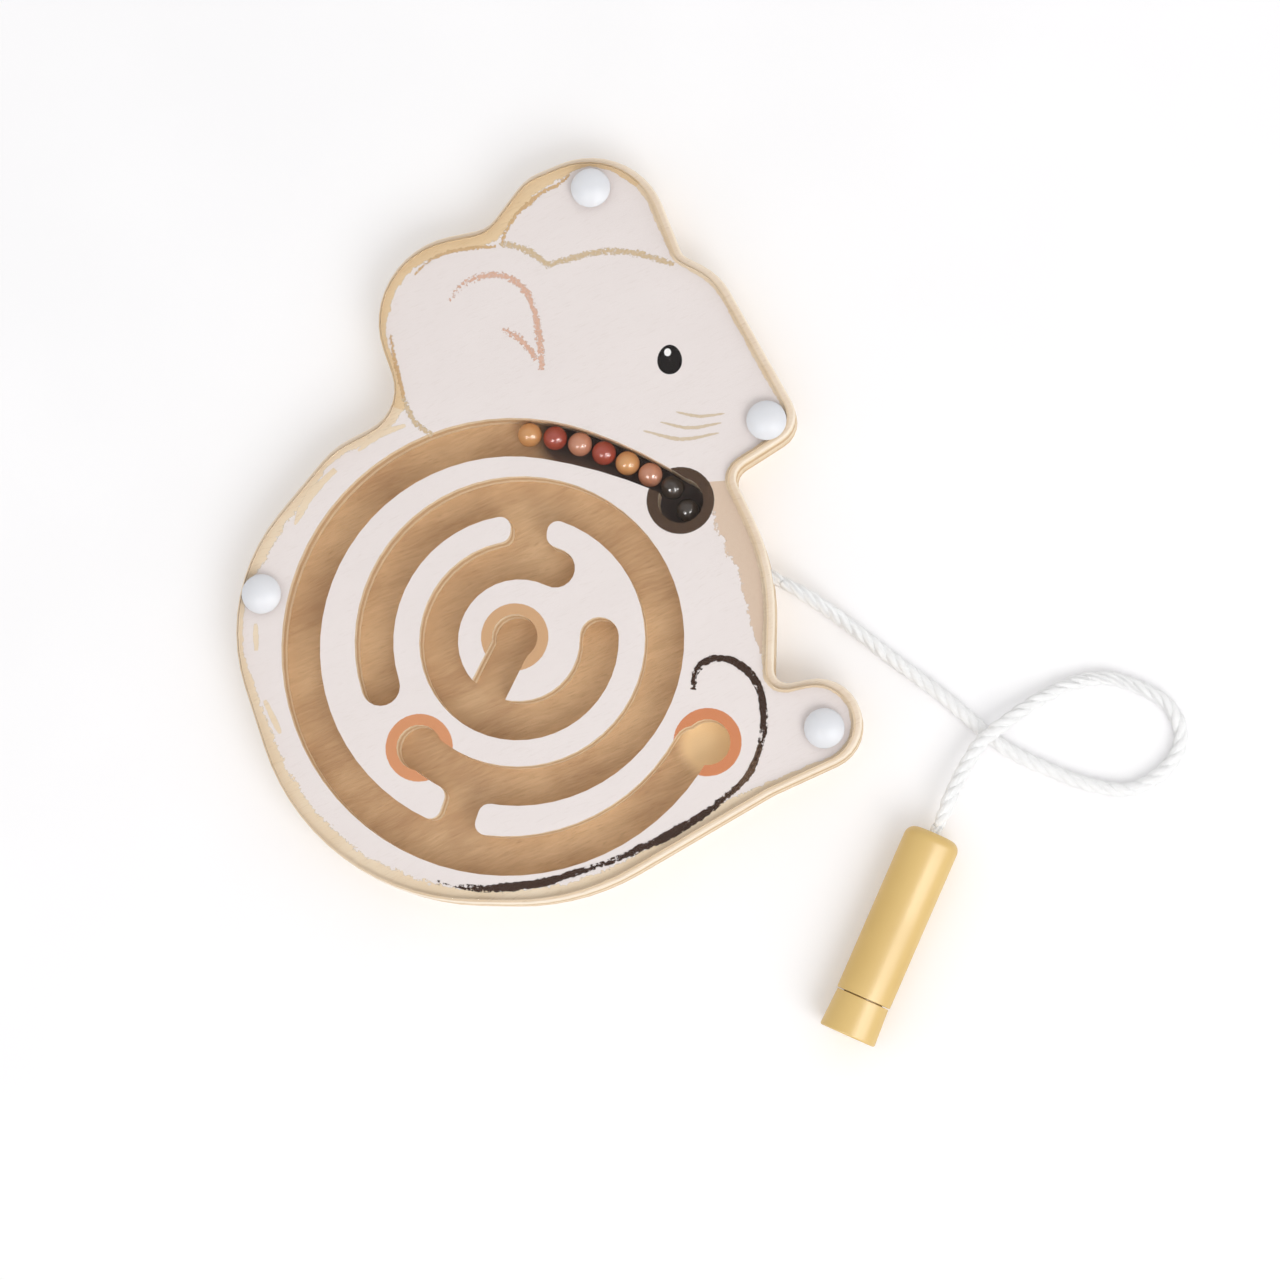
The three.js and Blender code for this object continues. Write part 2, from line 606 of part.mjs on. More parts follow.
function cordTube() {
  const ends = [
    new THREE.Vector3(CORD_START.x, CORD_START.y, CORD_HOLE_HEIGHT),
    new THREE.Vector3(CORD_STOP.x, CORD_STOP.y, wandHeight),
  ];
  const route = CORD_ROUTE.map((point) => new THREE.Vector3(...point));
  const path = new THREE.CatmullRomCurve3([ends[0], ...route, ends[1]], false, 'centripetal');
  const section = Array.from({ length: CORD_SIDES }, (_, i) =>
    polar(new THREE.Vector2(), CORD_DIAMETER / 2, (360 * (i + 0.5)) / CORD_SIDES));
  return new THREE.ExtrudeGeometry(new THREE.Shape(section), {
    steps: CORD_STEPS, extrudePath: path, bevelEnabled: false,
  });
}

// Assembly

const toy = new THREE.Group();

toy.add(named('base_board', toGeometry(baseBoard()), birch()));
toy.add(named('maze_board', toGeometry(mazeBoard()), printedBirch()));
toy.add(named('clear_cover', toGeometry(clearCover()), acrylic()));

for (const { place, x, y } of RIVETS) {
  const cap = named(`rivet_cap_${place}`, toGeometry(rivetCap()), whitePlastic());
  const pin = named(`rivet_pin_${place}`, toGeometry(rivetPin()), whitePlastic());
  for (const half of [cap, pin]) {
    half.position.set(x, y, 0);
    toy.add(half);
  }
}

const places = ballPlaces();
BALLS.forEach(({ name, paint }, i) => toy.add(named(name, ball(places[i]), ballPaint(paint))));

const wand = new THREE.Group();
wand.position.set(WAND_X, WAND_Y, wandHeight);
wand.rotation.set(0, Math.PI / 2, radians(WAND_HEADING), 'ZYX');
wand.add(named('wand_barrel', toGeometry(wandBarrel()), mustardPlastic()));
wand.add(named('wand_tip', toGeometry(wandTip()), mustardPlastic()));
wand.add(named('wand_magnet', toGeometry(wandMagnet()), magnetNickel()));
wand.add(named('cord_knot', toGeometry(cordKnot()), cotton()));
toy.add(wand);

toy.add(named('cord_tail', laidDown(cordTail(), CORD_MOUTH, CORD_HEADING, CORD_HOLE_HEIGHT), cotton()));
toy.add(named('cord', cordTube(), cotton()));

export default toy;
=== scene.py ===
"""Dress the mouse-shaped ball maze for its studio picture.

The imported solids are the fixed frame, in metres. Wood, print, cover, rivets, balls, wand and cord are rebuilt
here as finer pieces in the places of those solids, each with a finish made of shader nodes. Lengths are in
metres where nothing else is said.
"""

import logging
import math
import random
from dataclasses import dataclass
from enum import Enum
from typing import Any

import bmesh
import bpy
from mathutils import Matrix, Vector
from mathutils import noise as wobble

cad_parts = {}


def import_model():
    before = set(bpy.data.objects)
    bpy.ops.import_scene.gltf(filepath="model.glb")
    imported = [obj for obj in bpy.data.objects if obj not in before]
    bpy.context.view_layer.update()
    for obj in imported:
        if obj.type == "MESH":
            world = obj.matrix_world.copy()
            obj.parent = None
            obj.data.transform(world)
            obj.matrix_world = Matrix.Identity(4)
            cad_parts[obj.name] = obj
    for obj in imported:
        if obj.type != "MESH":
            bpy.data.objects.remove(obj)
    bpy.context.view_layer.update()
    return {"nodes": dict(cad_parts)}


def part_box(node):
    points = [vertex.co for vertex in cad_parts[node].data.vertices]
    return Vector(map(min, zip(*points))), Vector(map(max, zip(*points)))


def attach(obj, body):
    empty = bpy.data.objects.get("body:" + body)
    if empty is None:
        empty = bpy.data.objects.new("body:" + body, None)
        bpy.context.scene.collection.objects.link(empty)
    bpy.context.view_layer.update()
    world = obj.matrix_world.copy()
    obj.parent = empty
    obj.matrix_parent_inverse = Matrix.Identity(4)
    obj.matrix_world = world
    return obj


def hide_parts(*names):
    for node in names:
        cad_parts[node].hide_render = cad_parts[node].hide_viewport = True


LOG = logging.getLogger("ball_maze")
MM = 0.001
WELD = 0.001 * MM

# Upward share of a flat face's normal, and the angles past which faces part and edges count as sharp
FLAT_RISE = 0.9
FLAT_TURN = math.radians(0.6)
EDGE_TURN = math.radians(60)
SHARP_TURN = math.radians(40)
LATHE_TURN = math.radians(50)

GRAIN_TURN = math.radians(-24)
ON_PLAN = (1.0, 1.0, 0.0)
WHITE = (1.0, 1.0, 1.0, 1.0)

Colour = tuple[float, float, float, float]
Point = tuple[float, float]
Places = tuple[tuple[float, float, float], ...]
Socket = bpy.types.NodeSocket
NodeTree = bpy.types.NodeTree
Material = bpy.types.Material
Mesh = bpy.types.Mesh
Editable = bmesh.types.BMesh
Piece = bpy.types.Object
Nodes = dict[str, Piece]


class Body(Enum):
    """Moving bodies that pieces of this scene ride on, apart from the balls."""

    BOARD = "board"
    CORD = "cord"
    WAND = "wand"


class Slot(Enum):
    """Material slots of the record."""

    BIRCH = "birch_ply"
    PRINT = "printed_ply"
    ACRYLIC = "acrylic"
    WHITE = "white_plastic"
    MUSTARD = "mustard_plastic"
    COTTON = "cotton"
    CARAMEL = "paint_caramel"
    TERRACOTTA = "paint_terracotta"
    BLUSH = "paint_blush"
    DARK = "paint_dark"


def srgb(red: int, green: int, blue: int) -> Colour:
    """Turn an eight-bit screen colour into linear light.

    Args:
        red: Red, 0 to 255.
        green: Green, 0 to 255.
        blue: Blue, 0 to 255.

    Returns:
        The linear colour with full alpha.
    """
    shares = (value / 255 for value in (red, green, blue))
    linear = (s / 12.92 if s <= 0.04045 else ((s + 0.055) / 1.055) ** 2.4 for s in shares)
    return (*linear, 1.0)


def at(x: float, y: float, z: float = 0.0) -> Vector:
    """Turn a place in millimetres into metres."""
    return Vector((x, y, z)) * MM


class NodeSheet:
    """A node tree being filled: adds nodes, sets their inputs and links them."""

    def __init__(self, tree: NodeTree) -> None:
        """Keep the tree to fill."""
        self.tree = tree

    def feed(self, socket: Socket, value: Any) -> None:
        """Link a socket to an input, or set the input to a plain value.

        Args:
            socket: The input.
            value: A socket, or a plain value.
        """
        if isinstance(value, Socket):
            self.tree.links.new(value, socket)
        else:
            socket.default_value = value

    def add(self, kind: str, inputs: dict[str | int, Any] | None = None, **settings: Any) -> bpy.types.Node:
        """Add a node.

        Args:
            kind: Blender's name of the node type.
            inputs: Values or sockets for its inputs, by name or number.
            settings: Properties of the node.

        Returns:
            The new node.
        """
        made = self.tree.nodes.new(kind)
        for name, value in settings.items():
            setattr(made, name, value)
        for key, value in (inputs or {}).items():
            self.feed(made.inputs[key], value)
        return made

    def fill(self, made: bpy.types.Node, **inputs: Any) -> bpy.types.Node:
        """Feed a node's inputs, given by name with underscores for spaces, and return the node."""
        for name, value in inputs.items():
            self.feed(made.inputs[name.replace("_", " ")], value)
        return made

    def math(self, operation: str, *values: Any) -> Socket:
        """Add a math node over the values and return its result."""
        return self.add("ShaderNodeMath", dict(enumerate(values)), operation=operation).outputs[0]

    def vector(self, operation: str, *values: Any) -> Socket:
        """Add a vector math node over the values and return its vector."""
        made = self.add("ShaderNodeVectorMath", dict(enumerate(values)), operation=operation)
        return made.outputs["Vector"]

    def measure(self, operation: str, first: Any, second: Any) -> Socket:
        """Return the one number that a vector math node makes of two vectors."""
        made = self.add("ShaderNodeVectorMath", {0: first, 1: second}, operation=operation)
        return made.outputs["Value"]

    def split(self, vector: Any) -> Any:
        """Return the parts of a vector, by the names X, Y and Z."""
        return self.add("ShaderNodeSeparateXYZ", {"Vector": vector}).outputs

    def attribute(self, name: str) -> Socket:
        """Return a value that the mesh holds at each of its points."""
        return self.add("ShaderNodeAttribute", attribute_name=name).outputs["Fac"]

    def mix(self, factor: Any, first: Any, second: Any) -> Socket:
        """Mix two numbers and return the result."""
        return self.add("ShaderNodeMix", {0: factor, 2: first, 3: second}).outputs[0]

    def blend(self, factor: Any, first: Any, second: Any, mode: str = "MIX") -> Socket:
        """Mix two colours and return the result."""
        inputs = {0: factor, 6: first, 7: second}
        made = self.add("ShaderNodeMix", inputs, data_type="RGBA", blend_type=mode)
        return made.outputs[2]

    def step(self, value: Any, low: Any, high: Any) -> Socket:
        """Return a smooth step from 0 at low to 1 at high."""
        inputs = {"Value": value, "From Min": low, "From Max": high}
        return self.add("ShaderNodeMapRange", inputs, interpolation_type="SMOOTHSTEP").outputs["Result"]

    def noise(self, place: Any, scale: Any, detail: float = 3.0, roughness: float = 0.5) -> Socket:
        """Return fractal noise, about 0.5 on average."""
        inputs = {"Vector": place, "Scale": scale, "Detail": detail, "Roughness": roughness}
        return self.add("ShaderNodeTexNoise", inputs).outputs[0]

    def unsteady(self, place: Any, scale: Any, detail: float, roughness: float = 0.5) -> Socket:
        """Return fractal noise, about 0 on average."""
        return self.math("SUBTRACT", self.noise(place, scale, detail, roughness), 0.5)

    def streaks(self, place: Any, waves: tuple[float, ...], detail: float, roughness: float = 0.5) -> Socket:
        """Return fractal noise with its own number of waves a metre along each axis."""
        return self.noise(self.vector("MULTIPLY", place, waves), 1.0, detail, roughness)

    def place(self) -> Socket:
        """Return the place on the surface, in metres in the shared frame."""
        return self.add("ShaderNodeTexCoord").outputs["Object"]

    def use(self, group: NodeTree, **inputs: Any) -> Any:
        """Place a node group with its inputs and return its outputs."""
        return self.fill(self.add("ShaderNodeGroup", node_tree=group), **inputs).outputs

    def bump(self, height: Socket, depth: float) -> Socket:
        """Return a normal bumped by a height, with the depth in metres."""
        return self.add("ShaderNodeBump", {"Height": height, "Distance": depth}).outputs["Normal"]


class SurfaceEffects:
    """Node groups that several finishes share, each built once.

    Names in WAVES count waves a metre, names in STEP give the ends of a smooth step, and names in TINT
    are colours to multiply by.
    """

    VECTOR = "NodeSocketVector"
    FLOAT = "NodeSocketFloat"
    COLOUR = "NodeSocketColor"

    DRIFT_WAVES = (22.0, 60.0, 60.0)
    DRIFT_REACH = (0.0, 6 * MM, 0.0)
    FIGURE_WAVES = (26.0, 150.0, 90.0)
    FIGURE_WEIGHT = 0.34
    FIBRE_WAVES = (230.0, 2700.0, 900.0)
    FIBRE_WEIGHT = 0.26
    CLOUD_WAVES = 55.0
    CLOUD_WEIGHT = 0.4
    TONE_STEP = (0.28, 0.72)
    PORE_WAVES = (420.0, 4300.0, 1800.0)
    PORE_STEP = (0.60, 0.72)
    PORE_TINT = (0.72, 0.66, 0.58, 1.0)
    PORE_SHARE = 0.3
    PORE_DEPTH = 0.4

    PLY_WAVES = 60.0
    PLY_WAVER = 0.3
    PLY_STEP = (-0.2, 0.2)
    STREAK_WAVES = (240.0, 240.0, 4200.0)
    SPECK_WAVES = 3200.0
    SHADE_STEP = (0.34, 0.66)
    SHADE_TINT = (0.80, 0.74, 0.66, 1.0)
    GLUE_STEP = (0.16, 0.02)
    GLUE_TINT = (0.55, 0.47, 0.40, 1.0)
    GLUE_SHARE = 0.5
    GLUE_DEPTH = 0.3

    BRISTLES_ALONG = 190.0
    BRISTLES_ACROSS = 4.0
    CRAYON_GRAIN = 2.9
    COVER_STEP = (0.38, 0.54)

    DISC_WAVES = 2600.0
    DISC_WAVER = 0.3 * MM
    DISC_SOFT = 0.08 * MM

    SLOW_SHARE = 0.06
    FINE_STEP = (0.28, 0.72)
    SLOW_STEP = (0.30, 0.70)

    def __init__(self) -> None:
        """Build every group."""
        self.veneer = self._veneer()
        self.ply_edge = self._ply_edge()
        self.crayon = self._crayon()
        self.disc = self._disc()
        self.mottle = self._mottle()

    @staticmethod
    def _start(name: str, inputs: dict[str, str], outputs: dict[str, str]) -> tuple[NodeSheet, Any, Any]:
        """Start a node group.

        Args:
            name: The group's name.
            inputs: Socket type of each input, by its name.
            outputs: Socket type of each output, by its name.

        Returns:
            The sheet to fill, the input sockets and the output sockets.
        """
        tree = bpy.data.node_groups.new(name, "ShaderNodeTree")
        for side, sockets in (("INPUT", inputs), ("OUTPUT", outputs)):
            for label, kind in sockets.items():
                tree.interface.new_socket(label, in_out=side, socket_type=kind)
        sheet = NodeSheet(tree)
        return sheet, sheet.add("NodeGroupInput").outputs, sheet.add("NodeGroupOutput").inputs

    def _veneer(self) -> NodeTree:
        """Build the birch face: slow figure, long fibres and short dark pores along one direction.

        Returns:
            The group.
        """
        sheet, given, result = self._start(
            "birch veneer",
            {"Place": self.VECTOR, "Turn": self.FLOAT, "Light": self.COLOUR, "Dark": self.COLOUR},
            {"Color": self.COLOUR, "Height": self.FLOAT},
        )
        turn = {"Vector": given["Place"], "Angle": given["Turn"]}
        along = sheet.add("ShaderNodeVectorRotate", turn, rotation_type="Z_AXIS").outputs["Vector"]
        drift = sheet.streaks(along, self.DRIFT_WAVES, 2.0)
        bent = sheet.vector("ADD", along, sheet.vector("MULTIPLY", drift, self.DRIFT_REACH))
        figure = sheet.streaks(bent, self.FIGURE_WAVES, 4.0, 0.55)
        fibre = sheet.streaks(bent, self.FIBRE_WAVES, 3.0, 0.6)
        pores = sheet.step(sheet.streaks(bent, self.PORE_WAVES, 1.0), *self.PORE_STEP)
        cloud = sheet.noise(given["Place"], self.CLOUD_WAVES, 2.0)
        fine = sheet.math("MULTIPLY", fibre, self.FIBRE_WEIGHT)
        grain = sheet.math("MULTIPLY_ADD", figure, self.FIGURE_WEIGHT, fine)
        tone = sheet.math("MULTIPLY_ADD", cloud, self.CLOUD_WEIGHT, grain)
        colour = sheet.blend(sheet.step(tone, *self.TONE_STEP), given["Dark"], given["Light"])
        deep = sheet.blend(1.0, given["Dark"], self.PORE_TINT, "MULTIPLY")
        sheet.feed(result["Color"], sheet.blend(sheet.math("MULTIPLY", pores, self.PORE_SHARE), colour, deep))
        sunk = sheet.math("MULTIPLY", pores, self.PORE_DEPTH)
        sheet.feed(result["Height"], sheet.math("SUBTRACT", fibre, sunk))
        return sheet.tree

    def _ply_edge(self) -> NodeTree:
        """Build the cut edge of plywood: long-grain and cross-grain plies with thin glue lines.

        Returns:
            The group.
        """
        sheet, given, result = self._start(
            "plywood edge",
            {"Place": self.VECTOR, "Bottom": self.FLOAT, "Thickness": self.FLOAT, "Plies": self.FLOAT,
             "Long Ply": self.COLOUR, "Cross Ply": self.COLOUR},
            {"Color": self.COLOUR, "Height": self.FLOAT},
        )
        above = sheet.math("SUBTRACT", sheet.split(given["Place"])["Z"], given["Bottom"])
        share = sheet.math("DIVIDE", above, given["Thickness"])
        wave = sheet.math("MULTIPLY", sheet.unsteady(given["Place"], self.PLY_WAVES, 2.0), self.PLY_WAVER)
        layer = sheet.math("ADD", sheet.math("MULTIPLY", share, given["Plies"]), wave)
        swing = sheet.math("SINE", sheet.math("MULTIPLY", layer, math.pi))
        colour = sheet.blend(sheet.step(swing, *self.PLY_STEP), given["Cross Ply"], given["Long Ply"])
        glue = sheet.step(sheet.math("ABSOLUTE", swing), *self.GLUE_STEP)
        streak = sheet.streaks(given["Place"], self.STREAK_WAVES, 3.0)
        speck = sheet.noise(given["Place"], self.SPECK_WAVES, 2.0)
        rough = sheet.math("MULTIPLY", sheet.math("ADD", streak, speck), 0.5)
        shaded = sheet.blend(1.0, colour, self.SHADE_TINT, "MULTIPLY")
        colour = sheet.blend(sheet.step(rough, *self.SHADE_STEP), shaded, colour)
        brown = sheet.blend(1.0, given["Cross Ply"], self.GLUE_TINT, "MULTIPLY")
        sheet.feed(result["Color"], sheet.blend(sheet.math("MULTIPLY", glue, self.GLUE_SHARE), colour, brown))
        sunk = sheet.math("MULTIPLY", glue, self.GLUE_DEPTH)
        sheet.feed(result["Height"], sheet.math("SUBTRACT", rough, sunk))
        return sheet.tree

    def _crayon(self) -> NodeTree:
        """Build the ragged cover of a stroke: paper tooth for crayon, long bristle lanes for a dry brush.

        Returns:
            The group.
        """
        numbers = ("Along", "Across", "Inside", "Load", "Density", "Tooth", "Brush")
        sheet, given, result = self._start(
            "crayon cover",
            {"Place": self.VECTOR, **{label: self.FLOAT for label in numbers}},
            {"Mask": self.FLOAT},
        )
        tooth = sheet.unsteady(given["Place"], given["Tooth"], 4.0, 0.68)
        lanes = sheet.add("ShaderNodeCombineXYZ", {
            "X": sheet.math("MULTIPLY", given["Along"], self.BRISTLES_ALONG),
            "Y": sheet.math("MULTIPLY", given["Across"], self.BRISTLES_ACROSS),
        })
        bristle = sheet.unsteady(lanes.outputs["Vector"], 1.0, 4.0, 0.6)
        grain = sheet.mix(given["Brush"], tooth, bristle)
        held = sheet.math("MULTIPLY", given["Inside"], given["Density"])
        cover = sheet.math("MULTIPLY", held, given["Load"])
        level = sheet.math("MULTIPLY_ADD", grain, self.CRAYON_GRAIN, cover)
        sheet.feed(result["Mask"], sheet.step(level, *self.COVER_STEP))
        return sheet.tree

    def _disc(self) -> NodeTree:
        """Build a printed disc with a slightly uneven edge.

        Returns:
            The group.
        """
        sheet, given, result = self._start(
            "printed disc",
            {"Place": self.VECTOR, "Centre": self.VECTOR, "Radius": self.FLOAT},
            {"Mask": self.FLOAT},
        )
        flat = sheet.vector("MULTIPLY", given["Place"], ON_PLAN)
        waver = sheet.math("MULTIPLY", sheet.unsteady(given["Place"], self.DISC_WAVES, 2.0), self.DISC_WAVER)
        away = sheet.math("ADD", sheet.measure("DISTANCE", flat, given["Centre"]), waver)
        past = sheet.math("SUBTRACT", away, given["Radius"])
        sheet.feed(result["Mask"], sheet.step(past, self.DISC_SOFT, -self.DISC_SOFT))
        return sheet.tree

    def _mottle(self) -> NodeTree:
        """Build a fine and a slow unevenness, both from 0 to 1.

        Returns:
            The group.
        """
        sheet, given, result = self._start(
            "fine mottle",
            {"Place": self.VECTOR, "Scale": self.FLOAT},
            {"Fine": self.FLOAT, "Slow": self.FLOAT},
        )
        fine = sheet.noise(given["Place"], given["Scale"], 4.0, 0.6)
        slow = sheet.noise(given["Place"], sheet.math("MULTIPLY", given["Scale"], self.SLOW_SHARE), 2.0)
        sheet.feed(result["Fine"], sheet.step(fine, *self.FINE_STEP))
        sheet.feed(result["Slow"], sheet.step(slow, *self.SLOW_STEP))
        return sheet.tree


def new_finish(name: str, **sockets: Any) -> tuple[Material, NodeSheet, bpy.types.Node]:
    """Start a material with one Principled shader.

    Args:
        name: The material's name.
        sockets: Plain values for the shader's inputs, with underscores for spaces.

    Returns:
        The material, its sheet of nodes and the shader.
    """
    material = bpy.data.materials.new(name)
    material.use_nodes = True
    sheet = NodeSheet(material.node_tree)
    shader = sheet.fill(material.node_tree.nodes["Principled BSDF"], **sockets)
    return material, sheet, shader


@dataclass(frozen=True)
class PrintedSpot:
    """A printed disc round a pocket of the maze.

    Attributes:
        x: Centre, in millimetres.
        y: Centre, in millimetres.
        colour: Ink.
        radius: Radius.
    """

    x: float
    y: float
    colour: Colour
    radius: float = 8.3 * MM

    def centre(self) -> tuple[float, ...]:
        """Return the centre, in metres."""
        return tuple(at(self.x, self.y))

    def mask(self, sheet: NodeSheet, effects: SurfaceEffects, place: Socket) -> Socket:
        """Return the disc's mask on a material whose places are given."""
        return sheet.use(effects.disc, Place=place, Centre=self.centre(), Radius=self.radius)["Mask"]


START_SPOT = PrintedSpot(39.7, 34.0, srgb(61, 42, 30))
# The right goal's printed spot; its centre and radius also place the painted pool of light on the base board's
# floor.
RIGHT_GOAL = PrintedSpot(46.2, -25.4, srgb(208, 131, 88))
SPOTS = (
    START_SPOT,
    PrintedSpot(-24.4, -26.2, srgb(211, 144, 101)),
    RIGHT_GOAL,
    PrintedSpot(-1.0, 0.8, srgb(205, 162, 121)),
)


@dataclass(frozen=True)
class BirchPly:
    """Birch plywood with veneer on its faces and plies on its edges.

    Attributes:
        name: The material's name.
        bottom: Height of the sheet's underside.
        thickness: Thickness.
        plies: Number of plies.
        light: Light wood of the face.
        dark: Dark wood of the face.
        sanded_highlight: Sanded edge between a face and a cut, a light bare-wood colour that is partly a
            painted highlight along the rounded edge.
        long_ply: Ply cut along its grain.
        cross_ply: Ply cut across its grain.
        roughness: Roughness of the wood.
        gloss: Specular level of the wood.
        bump: Depth of the grain.
        face_rise: Upward shares of the normal between which a cut turns into a face.
        sanded_highlight_rise: Upward shares of the normal between which the sanded edge and its painted
            highlight begin.
    """

    name: str
    bottom: float
    thickness: float
    plies: int
    light: Colour = srgb(244, 229, 210)
    dark: Colour = srgb(233, 212, 187)
    sanded_highlight: Colour = srgb(246, 232, 213)
    long_ply: Colour = srgb(248, 232, 206)
    cross_ply: Colour = srgb(221, 190, 150)
    roughness: float = 0.6
    gloss: float = 0.2
    bump: float = 0.05 * MM
    face_rise: Point = (0.80, 0.97)
    sanded_highlight_rise: Point = (0.12, 0.3)

    def wood(self, sheet: NodeSheet, effects: SurfaceEffects) -> tuple[Socket, Socket]:
        """Lay out veneer on the faces and plies on the edges.

        Args:
            sheet: The material's nodes.
            effects: Shared node groups.

        Returns:
            Colour and height.
        """
        place = sheet.place()
        face = sheet.use(effects.veneer, Place=place, Turn=GRAIN_TURN, Light=self.light, Dark=self.dark)
        edge = sheet.use(
            effects.ply_edge, Place=place, Bottom=self.bottom, Thickness=self.thickness,
            Plies=float(self.plies), Long_Ply=self.long_ply, Cross_Ply=self.cross_ply,
        )
        normal = sheet.add("ShaderNodeNewGeometry").outputs["True Normal"]
        rise = sheet.math("ABSOLUTE", sheet.split(normal)["Z"])
        level = sheet.step(rise, *self.face_rise)
        # Rounded edges take the sanded colour, which is partly bare wood and partly a painted highlight.
        worn = sheet.blend(sheet.step(rise, *self.sanded_highlight_rise), edge["Color"], self.sanded_highlight)
        colour = sheet.blend(level, worn, face["Color"])
        return colour, sheet.mix(level, edge["Height"], face["Height"])


@dataclass(frozen=True)
class BaseFinish(BirchPly):
    """Plywood of the base board, with the floor of the start lane printed dark and a painted pool of light on
    the right goal's floor.

    Attributes:
        ring: Centre of the outer ring.
        lane_inner: Radius beyond which the start lane lies.
        lane_soft: Width of the print's inner edge.
        deep: Distances past the inner edge between which the ink grows dark.
        lane_end: Angle at which the dark print ends, in radians from X about the outer ring's centre.
        end: Distances past that angle between which the print begins.
        end_lean: How much sooner it is full across the lane.
        lane_low: Places on Y between which the print begins.
        rim_ink: Ink beside the inner wall.
        lane_ink: Ink across the rest of the lane.
        floor_soft: Depth below the board's top to which print reaches.
        pale: Painted light: colour of a pale pool on the right goal's floor, standing in for light falling
            there.
        goal_light_share: How much of that painted light shows.
        goal_light_reach: Shares of the goal's radius between which the painted light fades in.
    """

    roughness: float = 0.62
    bump: float = 0.03 * MM
    ring: Point = (-2.4 * MM, -1.2 * MM)
    lane_inner: float = 43.5 * MM
    lane_soft: float = 0.2 * MM
    deep: Point = (1 * MM, 8 * MM)
    lane_end: float = math.radians(83.5)
    end: Point = (-1.2 * MM, 11 * MM)
    end_lean: float = 8 * MM
    lane_low: Point = (14 * MM, 15 * MM)
    rim_ink: Colour = srgb(146, 114, 92)
    lane_ink: Colour = srgb(66, 50, 43)
    floor_soft: float = 0.1 * MM
    pale: Colour = srgb(255, 226, 176)
    goal_light_share: float = 0.8
    goal_light_reach: Point = (1.1, 0.6)

    def lane(self, sheet: NodeSheet, flat: Socket, place: Any) -> tuple[Socket, Socket]:
        """Lay out the dark print of the start lane.

        Args:
            sheet: The material's nodes.
            flat: Place on the surface, without its height.
            place: Parts of the place on the surface.

        Returns:
            The print's mask and its ink.
        """
        centre = (*self.ring, 0.0)
        radius = sheet.measure("DISTANCE", flat, centre)
        outside = sheet.step(radius, self.lane_inner, self.lane_inner + self.lane_soft)
        deep = sheet.step(radius, *(self.lane_inner + reach for reach in self.deep))
        across = (math.sin(self.lane_end), -math.cos(self.lane_end), 0.0)
        past = sheet.measure("DOT_PRODUCT", sheet.vector("SUBTRACT", flat, centre), across)
        full = sheet.math("MULTIPLY_ADD", deep, -self.end_lean, self.end[1])
        begun = sheet.math("MULTIPLY", outside, sheet.step(past, self.end[0], full))
        mask = sheet.math("MULTIPLY", begun, sheet.step(place["Y"], *self.lane_low))
        return mask, sheet.blend(deep, self.rim_ink, self.lane_ink)

    def build(self, effects: SurfaceEffects) -> Material:
        """Make the material.

        Args:
            effects: Shared node groups.

        Returns:
            The material.
        """
        surface = {"Roughness": self.roughness, "Specular_IOR_Level": self.gloss}
        material, sheet, shader = new_finish(self.name, **surface)
        colour, height = self.wood(sheet, effects)
        place = sheet.place()
        flat = sheet.vector("MULTIPLY", place, ON_PLAN)
        parts = sheet.split(place)
        top = self.bottom + self.thickness
        floor = sheet.step(parts["Z"], top - self.floor_soft, top)
        # Painted light: a pale pool on the floor of the right goal, mixed into the wood's colour.
        away = sheet.measure("DISTANCE", flat, RIGHT_GOAL.centre())
        bright = sheet.step(away, *(RIGHT_GOAL.radius * share for share in self.goal_light_reach))
        bright = sheet.math("MULTIPLY", sheet.math("MULTIPLY", bright, floor), self.goal_light_share)
        mask, ink = self.lane(sheet, flat, parts)
        colour = sheet.blend(bright, colour, self.pale)
        colour = sheet.blend(sheet.math("MULTIPLY", mask, floor), colour, ink)
        sheet.fill(shader, Base_Color=colour, Normal=sheet.bump(height, self.bump))
        return material


@dataclass(frozen=True)
class MazeFinish(BirchPly):
    """Plywood of the maze board, with dark walls round the start pocket.

    Attributes:
        shade: Colour of the dark walls.
        shade_share: How much of that colour shows.
    """

    shade: Colour = srgb(96, 76, 60)
    shade_share: float = 0.6

    def build(self, effects: SurfaceEffects) -> Material:
        """Make the material.

        Args:
            effects: Shared node groups.

        Returns:
            The material.
        """
        surface = {"Roughness": self.roughness, "Specular_IOR_Level": self.gloss}
        material, sheet, shader = new_finish(self.name, **surface)
        colour, height = self.wood(sheet, effects)
        spot = START_SPOT.mask(sheet, effects, sheet.place())
        colour = sheet.blend(sheet.math("MULTIPLY", spot, self.shade_share), colour, self.shade)
        sheet.fill(shader, Base_Color=colour, Normal=sheet.bump(height, self.bump))
        return material


